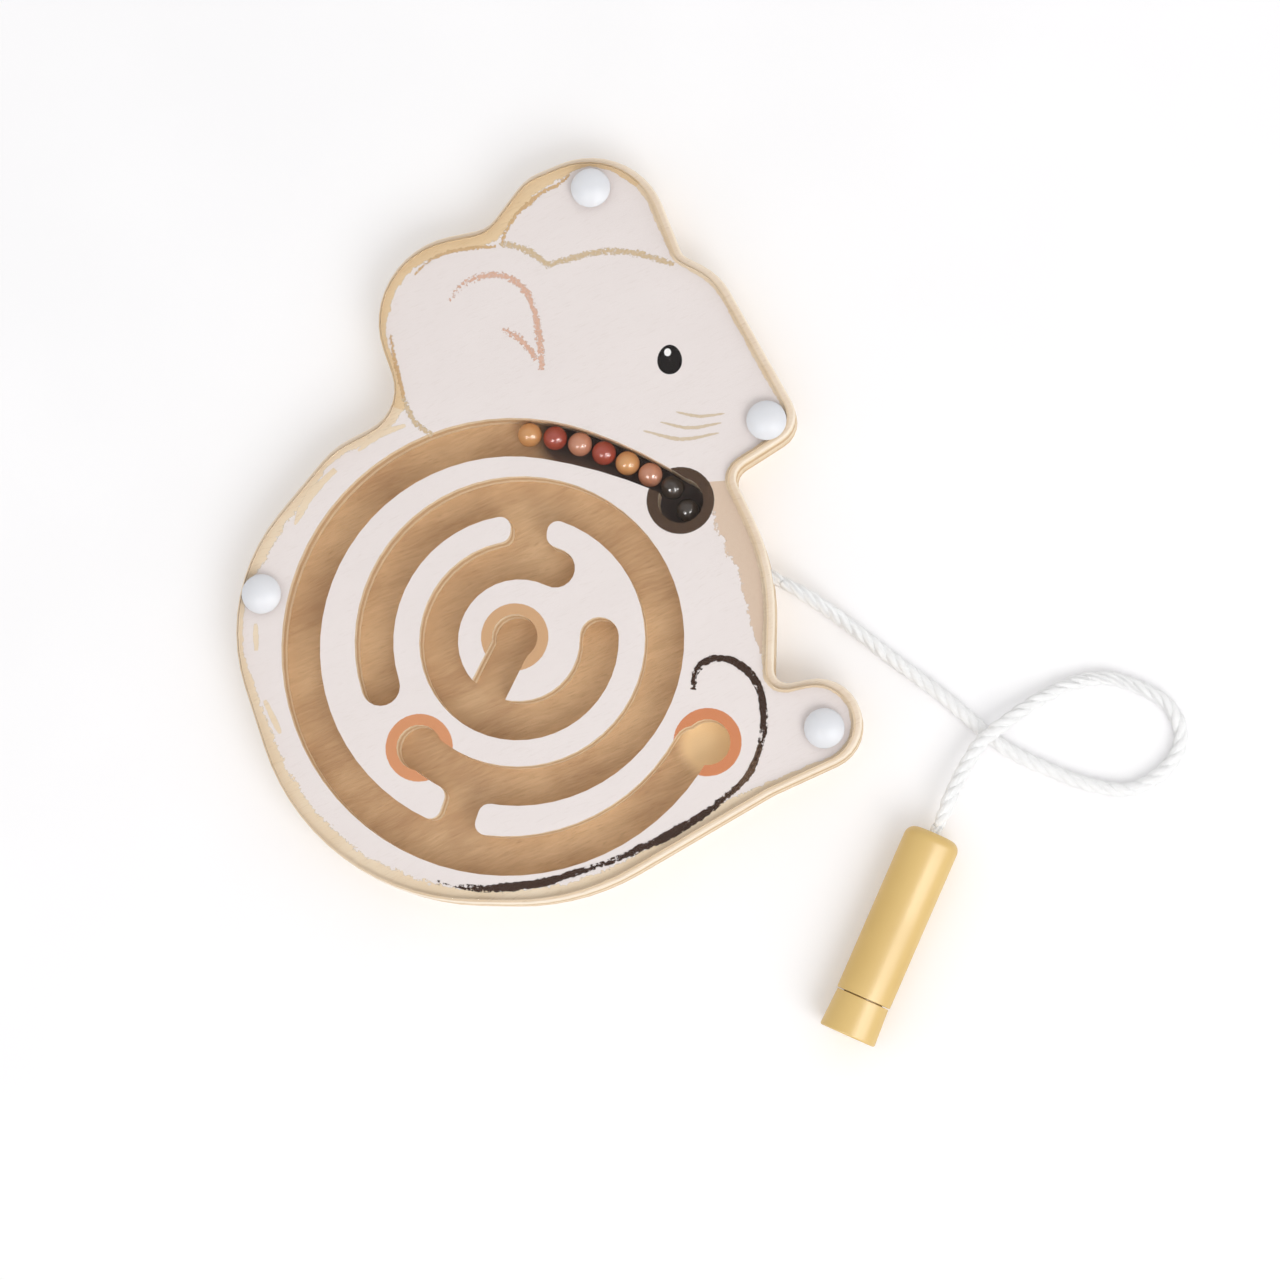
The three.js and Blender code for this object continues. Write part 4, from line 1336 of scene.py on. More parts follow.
class BoardPrint:
    """Print on the board's top: the pale film, gaps in it and strokes on it.

    Names in HEIGHT, LOW and HIGH are heights above the table, names in INSIDE say how far inside a stroke
    each column of its ribbon is, and names in WAVES count waves a metre.
    """

    FILM_LOW = 12.004 * MM
    FILM_HIGH = 12.022 * MM
    GAP_HEIGHT = 12.034 * MM
    WASH_HEIGHT = 12.030 * MM
    STROKE_HEIGHT = 12.040 * MM
    STROKE_RISE = 0.002 * MM
    GLINT_HEIGHT = 12.090 * MM
    TOP_RISE = 0.999
    TOP_DEPTH = 0.02 * MM
    TRIM_REACH = 1 * MM
    STEP = 0.5 * MM
    RIM_OVERLAP = 0.5 * MM
    BAND_DEPTHS = (0.0, 0.45, 0.8, 1.2)
    BAND_INSIDE = [1.0, 1.0, 0.72, 0.36, 0.0]
    BAND_WOBBLE = 0.22
    BAND_WAVES = 140
    BAND_REACH = 3
    LINE_ACROSS = (-0.5, -0.28, 0.0, 0.28, 0.5)
    LINE_INSIDE = [0.0, 0.6, 1.0, 0.6, 0.0]
    LINE_WOBBLE = 0.2
    LINE_WAVES = 260
    LINE_SWELL = 0.6
    DOT_SIDES = 48
    DOT_RINGS = (1.0, 0.9, 0.5, 0.02)
    DOT_INSIDE = [0.5, 0.9, 1.0, 1.0]
    EYE = at(37.1, 69.1)
    EYE_LENGTH = 7.4 * MM
    EYE_WIDTH = 6.1 * MM
    EYE_EGG = 0.08
    GLINT = at(36.6, 70.9)
    GLINT_LENGTH = 1.955 * MM
    GLINT_WIDTH = 1.7 * MM

    def __init__(self, effects: SurfaceEffects, outline: Outline) -> None:
        """Keep the shared groups and the outline.

        Args:
            effects: Shared node groups.
            outline: The cover's outline.
        """
        self.effects = effects
        self.outline = outline
        self.inks: dict[str, Material] = {}

    def ink(self, finish: StrokeFinish) -> Material:
        """Make the material of a stroke, once.

        Args:
            finish: The stroke's ink.

        Returns:
            The material.
        """
        if finish.name not in self.inks:
            self.inks[finish.name] = finish.build(self.effects)
        return self.inks[finish.name]

    def ribbon(self, name: str, finish: StrokeFinish, rows: list[list[Vector]], inside: list[float],
               loads: list[float], closed: bool = False) -> None:
        """Lay a flat ribbon that knows how far inside its edge each point is.

        Args:
            name: The piece's name.
            finish: Its ink.
            rows: Points across the ribbon, row after row along it.
            inside: How far inside the stroke each column is, from 0 at a ragged edge to 1.
            loads: Ink held by each row.
            closed: Whether the last row joins the first.
        """
        wide = len(inside)
        faces = []
        for i in range(len(rows) if closed else len(rows) - 1):
            low = i * wide
            high = (i + 1) % len(rows) * wide
            faces.extend((low + k, low + k + 1, high + k + 1, high + k) for k in range(wide - 1))
        mesh = smooth_mesh(name, [point for row in rows for point in row], faces)
        middles = [row[wide // 2] for row in rows]
        along = [0.0]
        for p, q in zip(middles, middles[1:]):
            along.append(along[-1] + (q - p).length)
        hold(mesh, {
            "inside": inside * len(rows),
            "across": [k / (wide - 1) for k in range(wide)] * len(rows),
            "along": [value for value in along for _ in range(wide)],
            "load": [value for value in loads for _ in range(wide)],
        })
        up = bmesh.new()
        up.from_mesh(mesh)
        if sum(face.normal.z * face.calc_area() for face in up.faces) < 0:
            bmesh.ops.reverse_faces(up, faces=up.faces)
        up.to_mesh(mesh)
        up.free()
        keep(put(mesh, self.ink(finish)), Body.BOARD.value, Slot.PRINT)

    @staticmethod
    def thicken(sheet: Editable, low: float, high: float) -> None:
        """Turn a flat sheet into a closed block.

        Args:
            sheet: The mesh to change.
            low: Height of its underside.
            high: Height of its top.
        """
        raised = bmesh.ops.extrude_face_region(sheet, geom=list(sheet.faces))
        lifted = {item for item in raised["geom"] if isinstance(item, bmesh.types.BMVert)}
        for vert in sheet.verts:
            vert.co.z = high if vert in lifted else low
        bmesh.ops.recalc_face_normals(sheet, faces=sheet.faces)

    def film(self, maze: Mesh) -> None:
        """Make the printed film: the maze board's flat top, trimmed to the cover's outline.

        Args:
            maze: The softened maze board.
        """
        lowest = max(vert.co.z for vert in maze.vertices) - self.TOP_DEPTH
        sheet = bmesh.new()
        sheet.from_mesh(maze)
        away = [f for f in sheet.faces if f.normal.z < self.TOP_RISE or f.calc_center_median().z < lowest]
        bmesh.ops.delete(sheet, geom=away, context="FACES")
        self.thicken(sheet, self.FILM_LOW, self.FILM_HIGH)
        mesh = bpy.data.meshes.new("print_film")
        sheet.to_mesh(mesh)
        sheet.free()
        film = put(mesh, PrintFinish().build(self.effects))
        knife = self.prism()
        cut = film.modifiers.new("trim", "BOOLEAN")
        cut.operation = "INTERSECT"
        cut.solver = "EXACT"
        cut.object = knife
        graph = bpy.context.evaluated_depsgraph_get()
        trimmed = bpy.data.meshes.new_from_object(film.evaluated_get(graph))
        film.modifiers.clear()
        film.data = trimmed
        trimmed.shade_flat()
        bpy.data.objects.remove(knife)
        keep(film, Body.BOARD.value, Slot.PRINT)

    def prism(self) -> Piece:
        """Make the tall block over the cover's outline that trims the film.

        Returns:
            The block.
        """
        block = bmesh.new()
        block.faces.new([block.verts.new((*point, 0.0)) for point in self.outline.points])
        self.thicken(block, self.FILM_LOW - self.TRIM_REACH, self.FILM_HIGH + self.TRIM_REACH)
        mesh = bpy.data.meshes.new("trim_block")
        block.to_mesh(mesh)
        block.free()
        knife = bpy.data.objects.new("trim_block", mesh)
        bpy.context.scene.collection.objects.link(knife)
        return knife

    def edge_band(self, name: str, finish: StrokeFinish, stations: Places, height: float) -> None:
        """Lay a band along the outline with a ragged inner edge.

        Args:
            name: The piece's name.
            finish: Its ink.
            stations: Place beside the outline and width there, in millimetres, counterclockwise.
            height: Height of the band.
        """
        points = self.outline.even(self.STEP)
        count = len(points)
        nearest = [min(range(count), key=lambda i: (points[i] - at(x, y).xy).length) for x, y, _ in stations]
        first = nearest[0]
        marks = [((mark - first) % count, width * MM) for mark, (_, _, width) in zip(nearest, stations)]
        rows = []
        for (low, here), (high, there) in zip(marks, marks[1:]):
            for i in range(low, high + 1 if (high, there) == marks[-1] else high):
                share = (i - low) / max(1, high - low)
                width = here + (there - here) * (share * share * (3 - 2 * share))
                spot = (first + i) % count
                ahead = points[(spot + self.BAND_REACH) % count] - points[(spot - self.BAND_REACH) % count]
                inward = Vector((-ahead.y, ahead.x)).normalized()
                place = points[spot]
                width *= 1 + self.BAND_WOBBLE * wobble.noise(place.to_3d() * self.BAND_WAVES)
                depths = [-self.RIM_OVERLAP, *(width * depth for depth in self.BAND_DEPTHS)]
                rows.append([Vector((*(place + inward * depth), height)) for depth in depths])
        self.ribbon(name, finish, rows, self.BAND_INSIDE, [1.0] * len(rows))

    def stroke(self, stroke: Stroke) -> None:
        """Draw one stroke along its points.

        Args:
            stroke: The stroke.
        """
        path = smooth_path([at(x, y) for x, y in stroke.points], self.STEP)
        height = self.STROKE_HEIGHT + STROKES.index(stroke) * self.STROKE_RISE
        rows = []
        loads = []
        for i, place in enumerate(path):
            share = i / (len(path) - 1)
            loads.append(stroke.load(share))
            ahead = path[min(i + 1, len(path) - 1)] - path[max(i - 1, 0)]
            side = Vector((-ahead.y, ahead.x, 0.0)).normalized()
            swell = math.sin(math.pi * share) ** self.LINE_SWELL if 0 < share < 1 else 0.0
            taper = stroke.start + (stroke.end - stroke.start) * share
            width = stroke.width * MM * (taper + (1 - taper) * swell)
            width *= 1 + self.LINE_WOBBLE * wobble.noise(place * self.LINE_WAVES)
            rows.append([Vector((*(place + side * width * k).xy, height)) for k in self.LINE_ACROSS])
        self.ribbon(stroke.name, stroke.finish, rows, self.LINE_INSIDE, loads)

    def dot(self, name: str, finish: StrokeFinish, centre: Vector, size: Point, height: float,
            egg: float = 0.0) -> None:
        """Print a filled egg shape.

        Args:
            name: The piece's name.
            finish: Its ink.
            centre: Its middle.
            size: Its width along X and its length along Y.
            height: Its height.
            egg: How much narrower its upper end is.
        """
        width, length = size
        rows = []
        for i in range(self.DOT_SIDES):
            angle = math.tau * i / self.DOT_SIDES
            narrow = 1 - egg * math.sin(angle)
            edge = Vector((math.cos(angle) * width / 2 * narrow, math.sin(angle) * length / 2, 0.0))
            rows.append([Vector((*(centre + edge * k).xy, height)) for k in self.DOT_RINGS])
        self.ribbon(name, finish, rows, self.DOT_INSIDE, [1.0] * self.DOT_SIDES, closed=True)

    def build(self, maze: Mesh) -> None:
        """Make the film, its gaps, the strokes and the eye.

        Args:
            maze: The softened maze board.
        """
        self.film(maze)
        self.edge_band("print_chest_wash", CHEST_WASH, CHEST_BAND, self.WASH_HEIGHT)
        self.edge_band("print_bare_ears", EAR_GAP, EAR_BAND, self.GAP_HEIGHT)
        self.edge_band("print_bare_band", BARE_GAP, BARE_BAND, self.GAP_HEIGHT)
        for stroke in STROKES:
            self.stroke(stroke)
        eye = (self.EYE_WIDTH, self.EYE_LENGTH)
        glint = (self.GLINT_WIDTH, self.GLINT_LENGTH)
        self.dot("print_eye", EYE_INK, self.EYE, eye, self.STROKE_HEIGHT, self.EYE_EGG)
        self.dot("print_eye_glint", GLINT_INK, self.GLINT, glint, self.GLINT_HEIGHT)


def smooth_path(points: list[Vector], step: float) -> list[Vector]:
    """Run one smooth curve through points, with a tight hold on uneven spacing.

    Args:
        points: Places that the curve passes, in order.
        step: Length of a stretch.

    Returns:
        Places along the curve at about even steps.
    """
    padded = [points[0] * 2 - points[1], *points, points[-1] * 2 - points[-2]]
    path = []
    for a, b, c, d in zip(padded, padded[1:], padded[2:], padded[3:]):
        before, here, after = ((q - p).length ** 0.5 for p, q in ((a, b), (b, c), (c, d)))
        leave = ((b - a) / before - (c - a) / (before + here) + (c - b) / here) * here
        arrive = ((c - b) / here - (d - b) / (here + after) + (d - c) / after) * here
        count = max(2, round((c - b).length / step))
        for i in range(count):
            t = i / count
            u = 1 - t
            near = b * (u * u * (1 + 2 * t)) + leave * (u * u * t)
            path.append(near + c * (t * t * (1 + 2 * u)) - arrive * (t * t * u))
    path.append(points[-1])
    return path


@dataclass
class WoodBoards:
    """The base board and the maze board.

    Attributes:
        base_edge: Width of the worn edge along the base.
        maze_edge: Width of the worn edge along the channels and holes.
        base_thickness: Thickness of the base.
        maze_thickness: Thickness of the maze board.
        plies: Number of plies in each board.
        floor_light: Light wood of the base, which is the maze's floor.
        floor_dark: Dark wood of the base.
    """

    base_edge: float = 0.156 * MM
    maze_edge: float = 0.26 * MM
    base_thickness: float = 4 * MM
    maze_thickness: float = 8 * MM
    plies: int = 3
    floor_light: Colour = srgb(224, 190, 148)
    floor_dark: Colour = srgb(178, 139, 100)

    def build(self, nodes: Nodes, effects: SurfaceEffects) -> Mesh:
        """Make both boards.

        Args:
            nodes: The solids of the frame.
            effects: Shared node groups.

        Returns:
            The maze board's mesh, for the print.
        """
        base = welded(nodes["base_board"])
        soften(base, self.base_edge)
        wood = BaseFinish(
            "birch base", 0.0, self.base_thickness, self.plies, self.floor_light, self.floor_dark
        ).build(effects)
        piece = put(finish_mesh(base, "base_board_wood"), wood)
        even_shading(keep(piece, Body.BOARD.value, Slot.BIRCH, "base_board"))
        maze = welded(nodes["maze_board"])
        soften(maze, self.maze_edge)
        wood = MazeFinish("birch maze", self.base_thickness, self.maze_thickness, self.plies).build(effects)
        piece = put(finish_mesh(maze, "maze_board_wood"), wood)
        even_shading(keep(piece, Body.BOARD.value, Slot.PRINT, "maze_board"))
        return piece.data


@dataclass
class ClearCover:
    """The acrylic sheet over the maze.

    Attributes:
        air_gap: Air between the print and the sheet.
        polish: Width of the polished edge.
    """

    air_gap: float = 0.14 * MM
    polish: float = 0.12 * MM

    def build(self, node: Piece, effects: SurfaceEffects) -> None:
        """Make the sheet.

        Args:
            node: The sheet's solid.
            effects: Shared node groups, for its edge.
        """
        sheet = welded(node)
        low = min(vert.co.z for vert in sheet.verts)
        for vert in sheet.verts:
            if vert.co.z < low + WELD:
                vert.co.z = low + self.air_gap
        soften(sheet, self.polish)
        finish = AcrylicFinish()
        piece = put(finish_mesh(sheet, "clear_cover_sheet"), finish.build())
        # The side faces take the edge material with its painted shadow line.
        piece.data.materials.append(finish.edge(effects))
        for polygon in piece.data.polygons:
            polygon.material_index = int(abs(polygon.normal.z) < FLAT_RISE)
        even_shading(keep(piece, Body.BOARD.value, Slot.ACRYLIC, "clear_cover"))


@dataclass
class Rivets:
    """The four snap rivets: domed caps, and pins pushed in from below.

    Attributes:
        places: Name and middle of each rivet, in millimetres.
        cap_radius: Radius of a cap.
        seat: Height of the cover's top.
        crown: Height of the dome's top.
        rim: Height of the rim under the dome.
        dome_inset: How far the dome stays inside the rim.
        rim_top: Height of the slope from dome to rim.
        rim_foot: Height of the slope under the rim.
        foot_inset: How far that slope goes in.
        air: Gap between cap and cover.
        shank_radius: Outer radius of the shank.
        bore_radius: Inner radius of the shank.
        dome_steps: Stretches of the dome's profile.
        sides: Sides of a cap.
        finish: The white plastic.
    """

    places: tuple[tuple[str, float, float], ...] = (
        ("ear", 17.6, 112.4), ("nose", 60.9, 53.3), ("back", -63.7, 12.0), ("foot", 74.6, -22.4),
    )
    cap_radius: float = 4.9 * MM
    seat: float = 13.5 * MM
    crown: float = 16.2 * MM
    rim: float = 0.6 * MM
    dome_inset: float = 0.12 * MM
    rim_top: float = 0.18 * MM
    rim_foot: float = 0.2 * MM
    foot_inset: float = 0.15 * MM
    air: float = 0.02 * MM
    shank_radius: float = 2.0 * MM
    bore_radius: float = 1.3 * MM
    dome_steps: int = 14
    sides: int = 64
    finish: GlossFinish = GlossFinish(
        "white plastic", srgb(229, 230, 234), srgb(224, 225, 229),
        rough_low=0.48, rough_high=0.56, scale=900.0, soft=0.2,
    )

    def profile(self, foot: float) -> list[Point]:
        """Lay out the cap's profile: dome, rim, flat underside and hollow shank.

        Args:
            foot: Height of the shank's lower end.

        Returns:
            Radius and height of each point.
        """
        rise = self.crown - self.seat - self.rim
        reach = self.cap_radius - self.dome_inset
        dome = (reach ** 2 + rise ** 2) / (2 * rise)
        half = math.degrees(math.asin(reach / dome))
        top = arc((0.0, self.crown - dome), dome, 90, 90 - half, self.dome_steps)
        side = self.cap_radius
        under = self.seat + self.air
        return [
            (0.0, self.crown), *top[1:],
            (side, self.seat + self.rim - self.rim_top), (side, self.seat + self.rim_foot),
            (side - self.foot_inset, under), (self.shank_radius, under),
            (self.shank_radius, foot), (self.bore_radius, foot),
            (self.bore_radius, self.seat), (0.0, self.seat),
        ]

    def build(self, nodes: Nodes, effects: SurfaceEffects) -> None:
        """Make the caps and dress the pins.

        Args:
            nodes: The solids of the frame.
            effects: Shared node groups.
        """
        material = self.finish.build(effects)
        for name, x, y in self.places:
            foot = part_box(f"rivet_cap_{name}")[0][2]
            where = Matrix.Translation(at(x, y))
            mesh = lathe(f"rivet_dome_{name}", self.profile(foot), self.sides, where)
            keep(put(mesh, material), Body.BOARD.value, Slot.WHITE, f"rivet_cap_{name}")
            dress(nodes[f"rivet_pin_{name}"].data, material)


@dataclass
class Balls:
    """The painted steel balls, each with a body of its own.

    Attributes:
        nodes: The balls' solids in the order of their bodies; each name holds its paint.
        sides: Sides of a ball.
        rows: Rows of faces from pole to pole.
    """

    nodes: tuple[str, ...] = (
        "ball_caramel_1", "ball_terracotta_1", "ball_blush_1", "ball_terracotta_2", "ball_caramel_2",
        "ball_blush_2", "ball_dark_1", "ball_dark_2",
    )
    sides: int = 48
    rows: int = 24

    @staticmethod
    def paints() -> dict[str, GlossFinish]:
        """Mix the paints.

        Returns:
            The paint of each kind of ball.
        """
        colours = {
            "caramel": (srgb(213, 158, 104), srgb(205, 149, 95)),
            "terracotta": (srgb(166, 73, 56), srgb(157, 66, 50)),
            "blush": (srgb(199, 140, 112), srgb(191, 132, 105)),
            "dark": (srgb(62, 50, 41), srgb(54, 44, 37)),
        }
        gloss = {"rough_low": 0.13, "rough_high": 0.18, "scale": 1600.0, "depth": 0.002 * MM}
        return {kind: GlossFinish(f"{kind} paint", *pair, **gloss) for kind, pair in colours.items()}

    def build(self, effects: SurfaceEffects) -> None:
        """Make every ball in the place of its solid.

        Args:
            effects: Shared node groups.
        """
        materials = {kind: paint.build(effects) for kind, paint in self.paints().items()}
        for number, node in enumerate(self.nodes, 1):
            kind = node.split("_")[1]
            low, high = (Vector(corner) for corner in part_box(node))
            radius = (high.z - low.z) / 2
            round_side = arc((0.0, 0.0), radius, -90, 90, self.rows)[1:-1]
            profile = [(0.0, -radius), *round_side, (0.0, radius)]
            mesh = lathe(f"painted_{node}", profile, self.sides, Matrix.Translation((low + high) / 2))
            keep(put(mesh, materials[kind]), f"ball_{number}", Slot(f"paint_{kind}"), node)


@dataclass
class Wand:
    """The magnet wand: a hollow barrel with a rounded shoulder, and a tip pushed into its end.

    Attributes:
        face: Middle of the cord end's face.
        heading: Direction of the wand from its cord end, in radians from X.
        barrel_radius: Radius of the barrel.
        barrel_length: Length of the barrel.
        shoulder: Radius of the shoulder.
        hole: Radius of the cord's hole.
        lip: Radius of the hole's edge.
        wall: Thickness of the barrel's wall.
        top: Thickness of the barrel's end.
        groove: Gap between barrel and tip.
        chamfer: Width of the chamfers beside the groove.
        length: Length of the whole wand.
        tip_neck: Radius of the tip beside the groove.
        tip_end: Radius of the tip's far end.
        tip_edge: Radius of the tip's edge.
        spigot: Length of the tip inside the barrel.
        spigot_air: Gap between that length and the barrel.
        sides: Sides of barrel and tip.
        finish: The mustard plastic.
    """

    face: Vector
    heading: float = math.radians(246)
    barrel_radius: float = 6.9 * MM
    barrel_length: float = 43.1 * MM
    shoulder: float = 2.6 * MM
    hole: float = 1.8 * MM
    lip: float = 0.35 * MM
    wall: float = 1.8 * MM
    top: float = 2.4 * MM
    groove: float = 0.3 * MM
    chamfer: float = 0.12 * MM
    length: float = 53 * MM
    tip_neck: float = 6.65 * MM
    tip_end: float = 7.1 * MM
    tip_edge: float = 0.5 * MM
    spigot: float = 6 * MM
    spigot_air: float = 0.1 * MM
    sides: int = 96
    finish: GlossFinish = GlossFinish(
        "mustard plastic", srgb(222, 188, 117), srgb(216, 181, 109),
        rough_low=0.40, rough_high=0.48, scale=700.0, soft=0.06,
    )

    def axis(self) -> Matrix:
        """Find the place of the wand's axis.

        Returns:
            The place, with Z along the wand from its cord end.
        """
        ahead = Vector((math.cos(self.heading), math.sin(self.heading), 0.0))
        across = Vector((-ahead.y, ahead.x, 0.0))
        up = ahead.cross(across)
        turn = Matrix((across, up, ahead)).transposed().to_4x4()
        return Matrix.Translation(self.face) @ turn

    def barrel(self) -> list[Point]:
        """Lay out the barrel's profile, closed on itself.

        Returns:
            Radius and height of each point.
        """
        radius = self.barrel_radius
        bore = radius - self.wall
        end = self.barrel_length
        return [
            *arc((self.hole + self.lip, self.lip), self.lip, 180, 270, 4),
            *arc((radius - self.shoulder, self.shoulder), self.shoulder, -90, 0, 10),
            (radius, end - self.chamfer), (radius - self.chamfer, end),
            (bore, end), (bore, self.top), (self.hole, self.top),
        ]

    def tip(self) -> list[Point]:
        """Lay out the tip's profile, from the axis back to the axis.

        Returns:
            Radius and height of each point.
        """
        start = self.barrel_length + self.groove
        inside = start - self.spigot
        radius = self.barrel_radius - self.wall - self.spigot_air
        edge = self.tip_edge
        return [
            (0.0, inside), (radius, inside), (radius, start),
            (self.tip_neck - self.chamfer, start), (self.tip_neck, start + self.chamfer),
            *arc((self.tip_end - edge, self.length - edge), edge, 0, 90, 5), (0.0, self.length),
        ]

    def build(self, nodes: Nodes, effects: SurfaceEffects) -> list[Piece]:
        """Make barrel and tip, and dress the magnet.

        Args:
            nodes: The solids of the frame.
            effects: Shared node groups.

        Returns:
            The two pieces.
        """
        material = self.finish.build(effects)
        where = self.axis()
        shell = lathe("wand_barrel_shell", self.barrel(), self.sides, where, ring=True)
        cap = lathe("wand_tip_cap", self.tip(), self.sides, where)
        pieces = [
            keep(put(shell, material), Body.WAND.value, Slot.MUSTARD, "wand_barrel"),
            keep(put(cap, material), Body.WAND.value, Slot.MUSTARD, "wand_tip"),
        ]
        for piece in pieces:
            even_shading(piece)
        dress(nodes["wand_magnet"].data, NickelFinish().build(effects))
        return pieces


@dataclass
class Cord:
    """The twisted cotton cord from the board's edge to the wand.

    Attributes:
        route: Places of the free stretch, in millimetres, from the board to the wand.
        diameter: Thickness of the cord.
        tail_inside: Length glued into the board.
        neck_inside: Length that goes through the wand's end.
        step: Length of a stretch of mesh.
        tail_steps: Stretches of mesh in the glued end.
        neck_steps: Stretches of mesh in the end at the wand.
        strands: Number of strands.
        strand: Radius of one strand at a held end.
        spread: Distance from the cord's middle to a strand's there.
        lay: Length of one full twist.
        sides: Sides of a strand.
        fuller: Share by which the free stretch is thicker than its two held ends.
        waist: Length over which the cord thins towards a held end.
        loose: Share by which a strand wanders in and out.
        loose_waves: Wandering, in waves a metre.
        loose_shift: How far apart in their noise two strands wander.
        plump: Share by which a strand swells and thins.
        plump_waves: Swelling, in waves a metre.
        seed: Start of the random draws for the loose fibres.
        hairs: Number of loose fibres.
        bare_end: Stretches beside the wand that have no loose fibres.
        hair_root: Distance of a fibre's root from the cord's middle, in diameters.
        hair_lift: Least and greatest share that a fibre stands off the cord.
        hair_length: Shortest and longest fibre, in millimetres.
        hair_curl: Greatest curl of a fibre, in millimetres.
        hair_thick: Thinnest and thickest fibre, in millimetres.
        hair_taper: Share of its thickness that a fibre loses towards its end.
    """

    route: Places = (
        (64.1977, 14.2885, 7.5), (68.8, 11.7, 7.3), (73.0, 9.1, 5.8), (77.5, 6.1, 3.6), (82.8, 2.1, 2.1),
        (88.5, -2.4, 1.6), (95.0, -7.4, 1.6), (102.2, -12.8, 1.6), (108.0, -17.8, 1.6), (112.8, -22.1, 1.6),
        (118.3, -26.4, 1.6), (127.9, -31.4, 1.6), (138.9, -35.6, 1.6), (148.6, -36.7, 1.6),
        (157.4, -31.2, 1.6), (160.6, -23.9, 1.6), (157.6, -16.3, 1.6), (150.5, -11.8, 1.6),
        (143.0, -9.5, 1.6), (134.0, -10.9, 1.8), (124.5, -16.0, 3.3), (117.2, -21.3, 4.9),
        (111.9, -25.9, 5.2), (106.3, -35.3, 6.3), (103.3, -42.3, 7.1), (101.6728, -45.9643, 7.2),
    )
    diameter: float = 3 * MM
    tail_inside: float = 7 * MM
    neck_inside: float = 6 * MM
    step: float = 0.55 * MM
    tail_steps: int = 12
    neck_steps: int = 11
    strands: int = 3
    strand: float = 0.9 * MM
    spread: float = 0.66 * MM
    lay: float = 11 * MM
    sides: int = 12
    fuller: float = 0.15
    waist: float = 7 * MM
    loose: float = 0.18
    loose_waves: float = 260
    loose_shift: float = 9.0
    plump: float = 0.13
    plump_waves: float = 330
    seed: int = 11
    hairs: int = 8000
    bare_end: int = 14
    hair_root: float = 0.48
    hair_lift: Point = (0.1, 0.7)
    hair_length: Point = (0.6, 1.9)
    hair_curl: float = 0.3
    hair_thick: Point = (0.012, 0.022)
    hair_taper: float = 0.7

    @staticmethod
    def frames(path: list[Vector]) -> list[tuple[Vector, Vector, Vector]]:
        """Carry a steady pair of side directions along a path.

        Args:
            path: Places along it.

        Returns:
            Direction and the two side directions at each place.
        """
        result = []
        side = Vector((0.0, 0.0, 1.0))
        for i in range(len(path)):
            ahead = (path[min(i + 1, len(path) - 1)] - path[max(i - 1, 0)]).normalized()
            side = (side - ahead * side.dot(ahead)).normalized()
            result.append((ahead, side, ahead.cross(side)))
        return result

    def girth(self, length: float, whole: float) -> float:
        """Return the thickness at a length along the free stretch, against that of its held ends."""
        share = max(0.0, min(1.0, length / self.waist, (whole - length) / self.waist))
        return 1 + self.fuller * share * share * (3 - 2 * share)

    def twist(self, name: str, path: list[Vector], start: float, whole: float) -> Mesh:
        """Lay the strands round a path.

        Args:
            name: The mesh's name.
            path: Middle of the cord.
            start: Length of cord before the path, in metres, so that the twist runs on.
            whole: Length of the free stretch.

        Returns:
            The mesh of the strands.
        """
        lengths = [start]
        for p, q in zip(path, path[1:]):
            lengths.append(lengths[-1] + (q - p).length)
        girths = [self.girth(length, whole) for length in lengths]
        frames = self.frames(path)
        points: list[Vector] = []
        faces: list[tuple[int, ...]] = []
        for strand in range(self.strands):
            middles = []
            shift = Vector((self.loose_shift * strand, 0.0, 0.0))
            for place, (_, side, other), length, girth in zip(path, frames, lengths, girths):
                angle = math.tau * (strand / self.strands + length / self.lay)
                away = 1 + self.loose * wobble.noise(place * self.loose_waves + shift)
                out = side * math.cos(angle) + other * math.sin(angle)
                middles.append(place + out * self.spread * (away * girth))
            first = len(points)
            for middle, (_, side, other), girth in zip(middles, self.frames(middles), girths):
                swell = (1 + self.plump * wobble.noise(middle * self.plump_waves)) * girth
                for k in range(self.sides):
                    angle = math.tau * k / self.sides
                    out = side * math.cos(angle) + other * math.sin(angle)
                    point = middle + out * self.strand * swell
                    point.z = max(point.z, 0.0)
                    points.append(point)
            last = len(points) - self.sides
            for low in range(first, last, self.sides):
                for k in range(self.sides):
                    n = (k + 1) % self.sides
                    faces.append((low + k, low + n, low + self.sides + n, low + self.sides + k))
            faces.append(tuple(first + k for k in reversed(range(self.sides))))
            faces.append(tuple(last + k for k in range(self.sides)))
        mesh = smooth_mesh(name, points, faces)
        around = [k / self.sides for k in range(self.sides)]
        hold(mesh, {
            "around": around * (len(path) * self.strands),
            "along": [length for length in lengths for _ in range(self.sides)] * self.strands,
        })
        return mesh

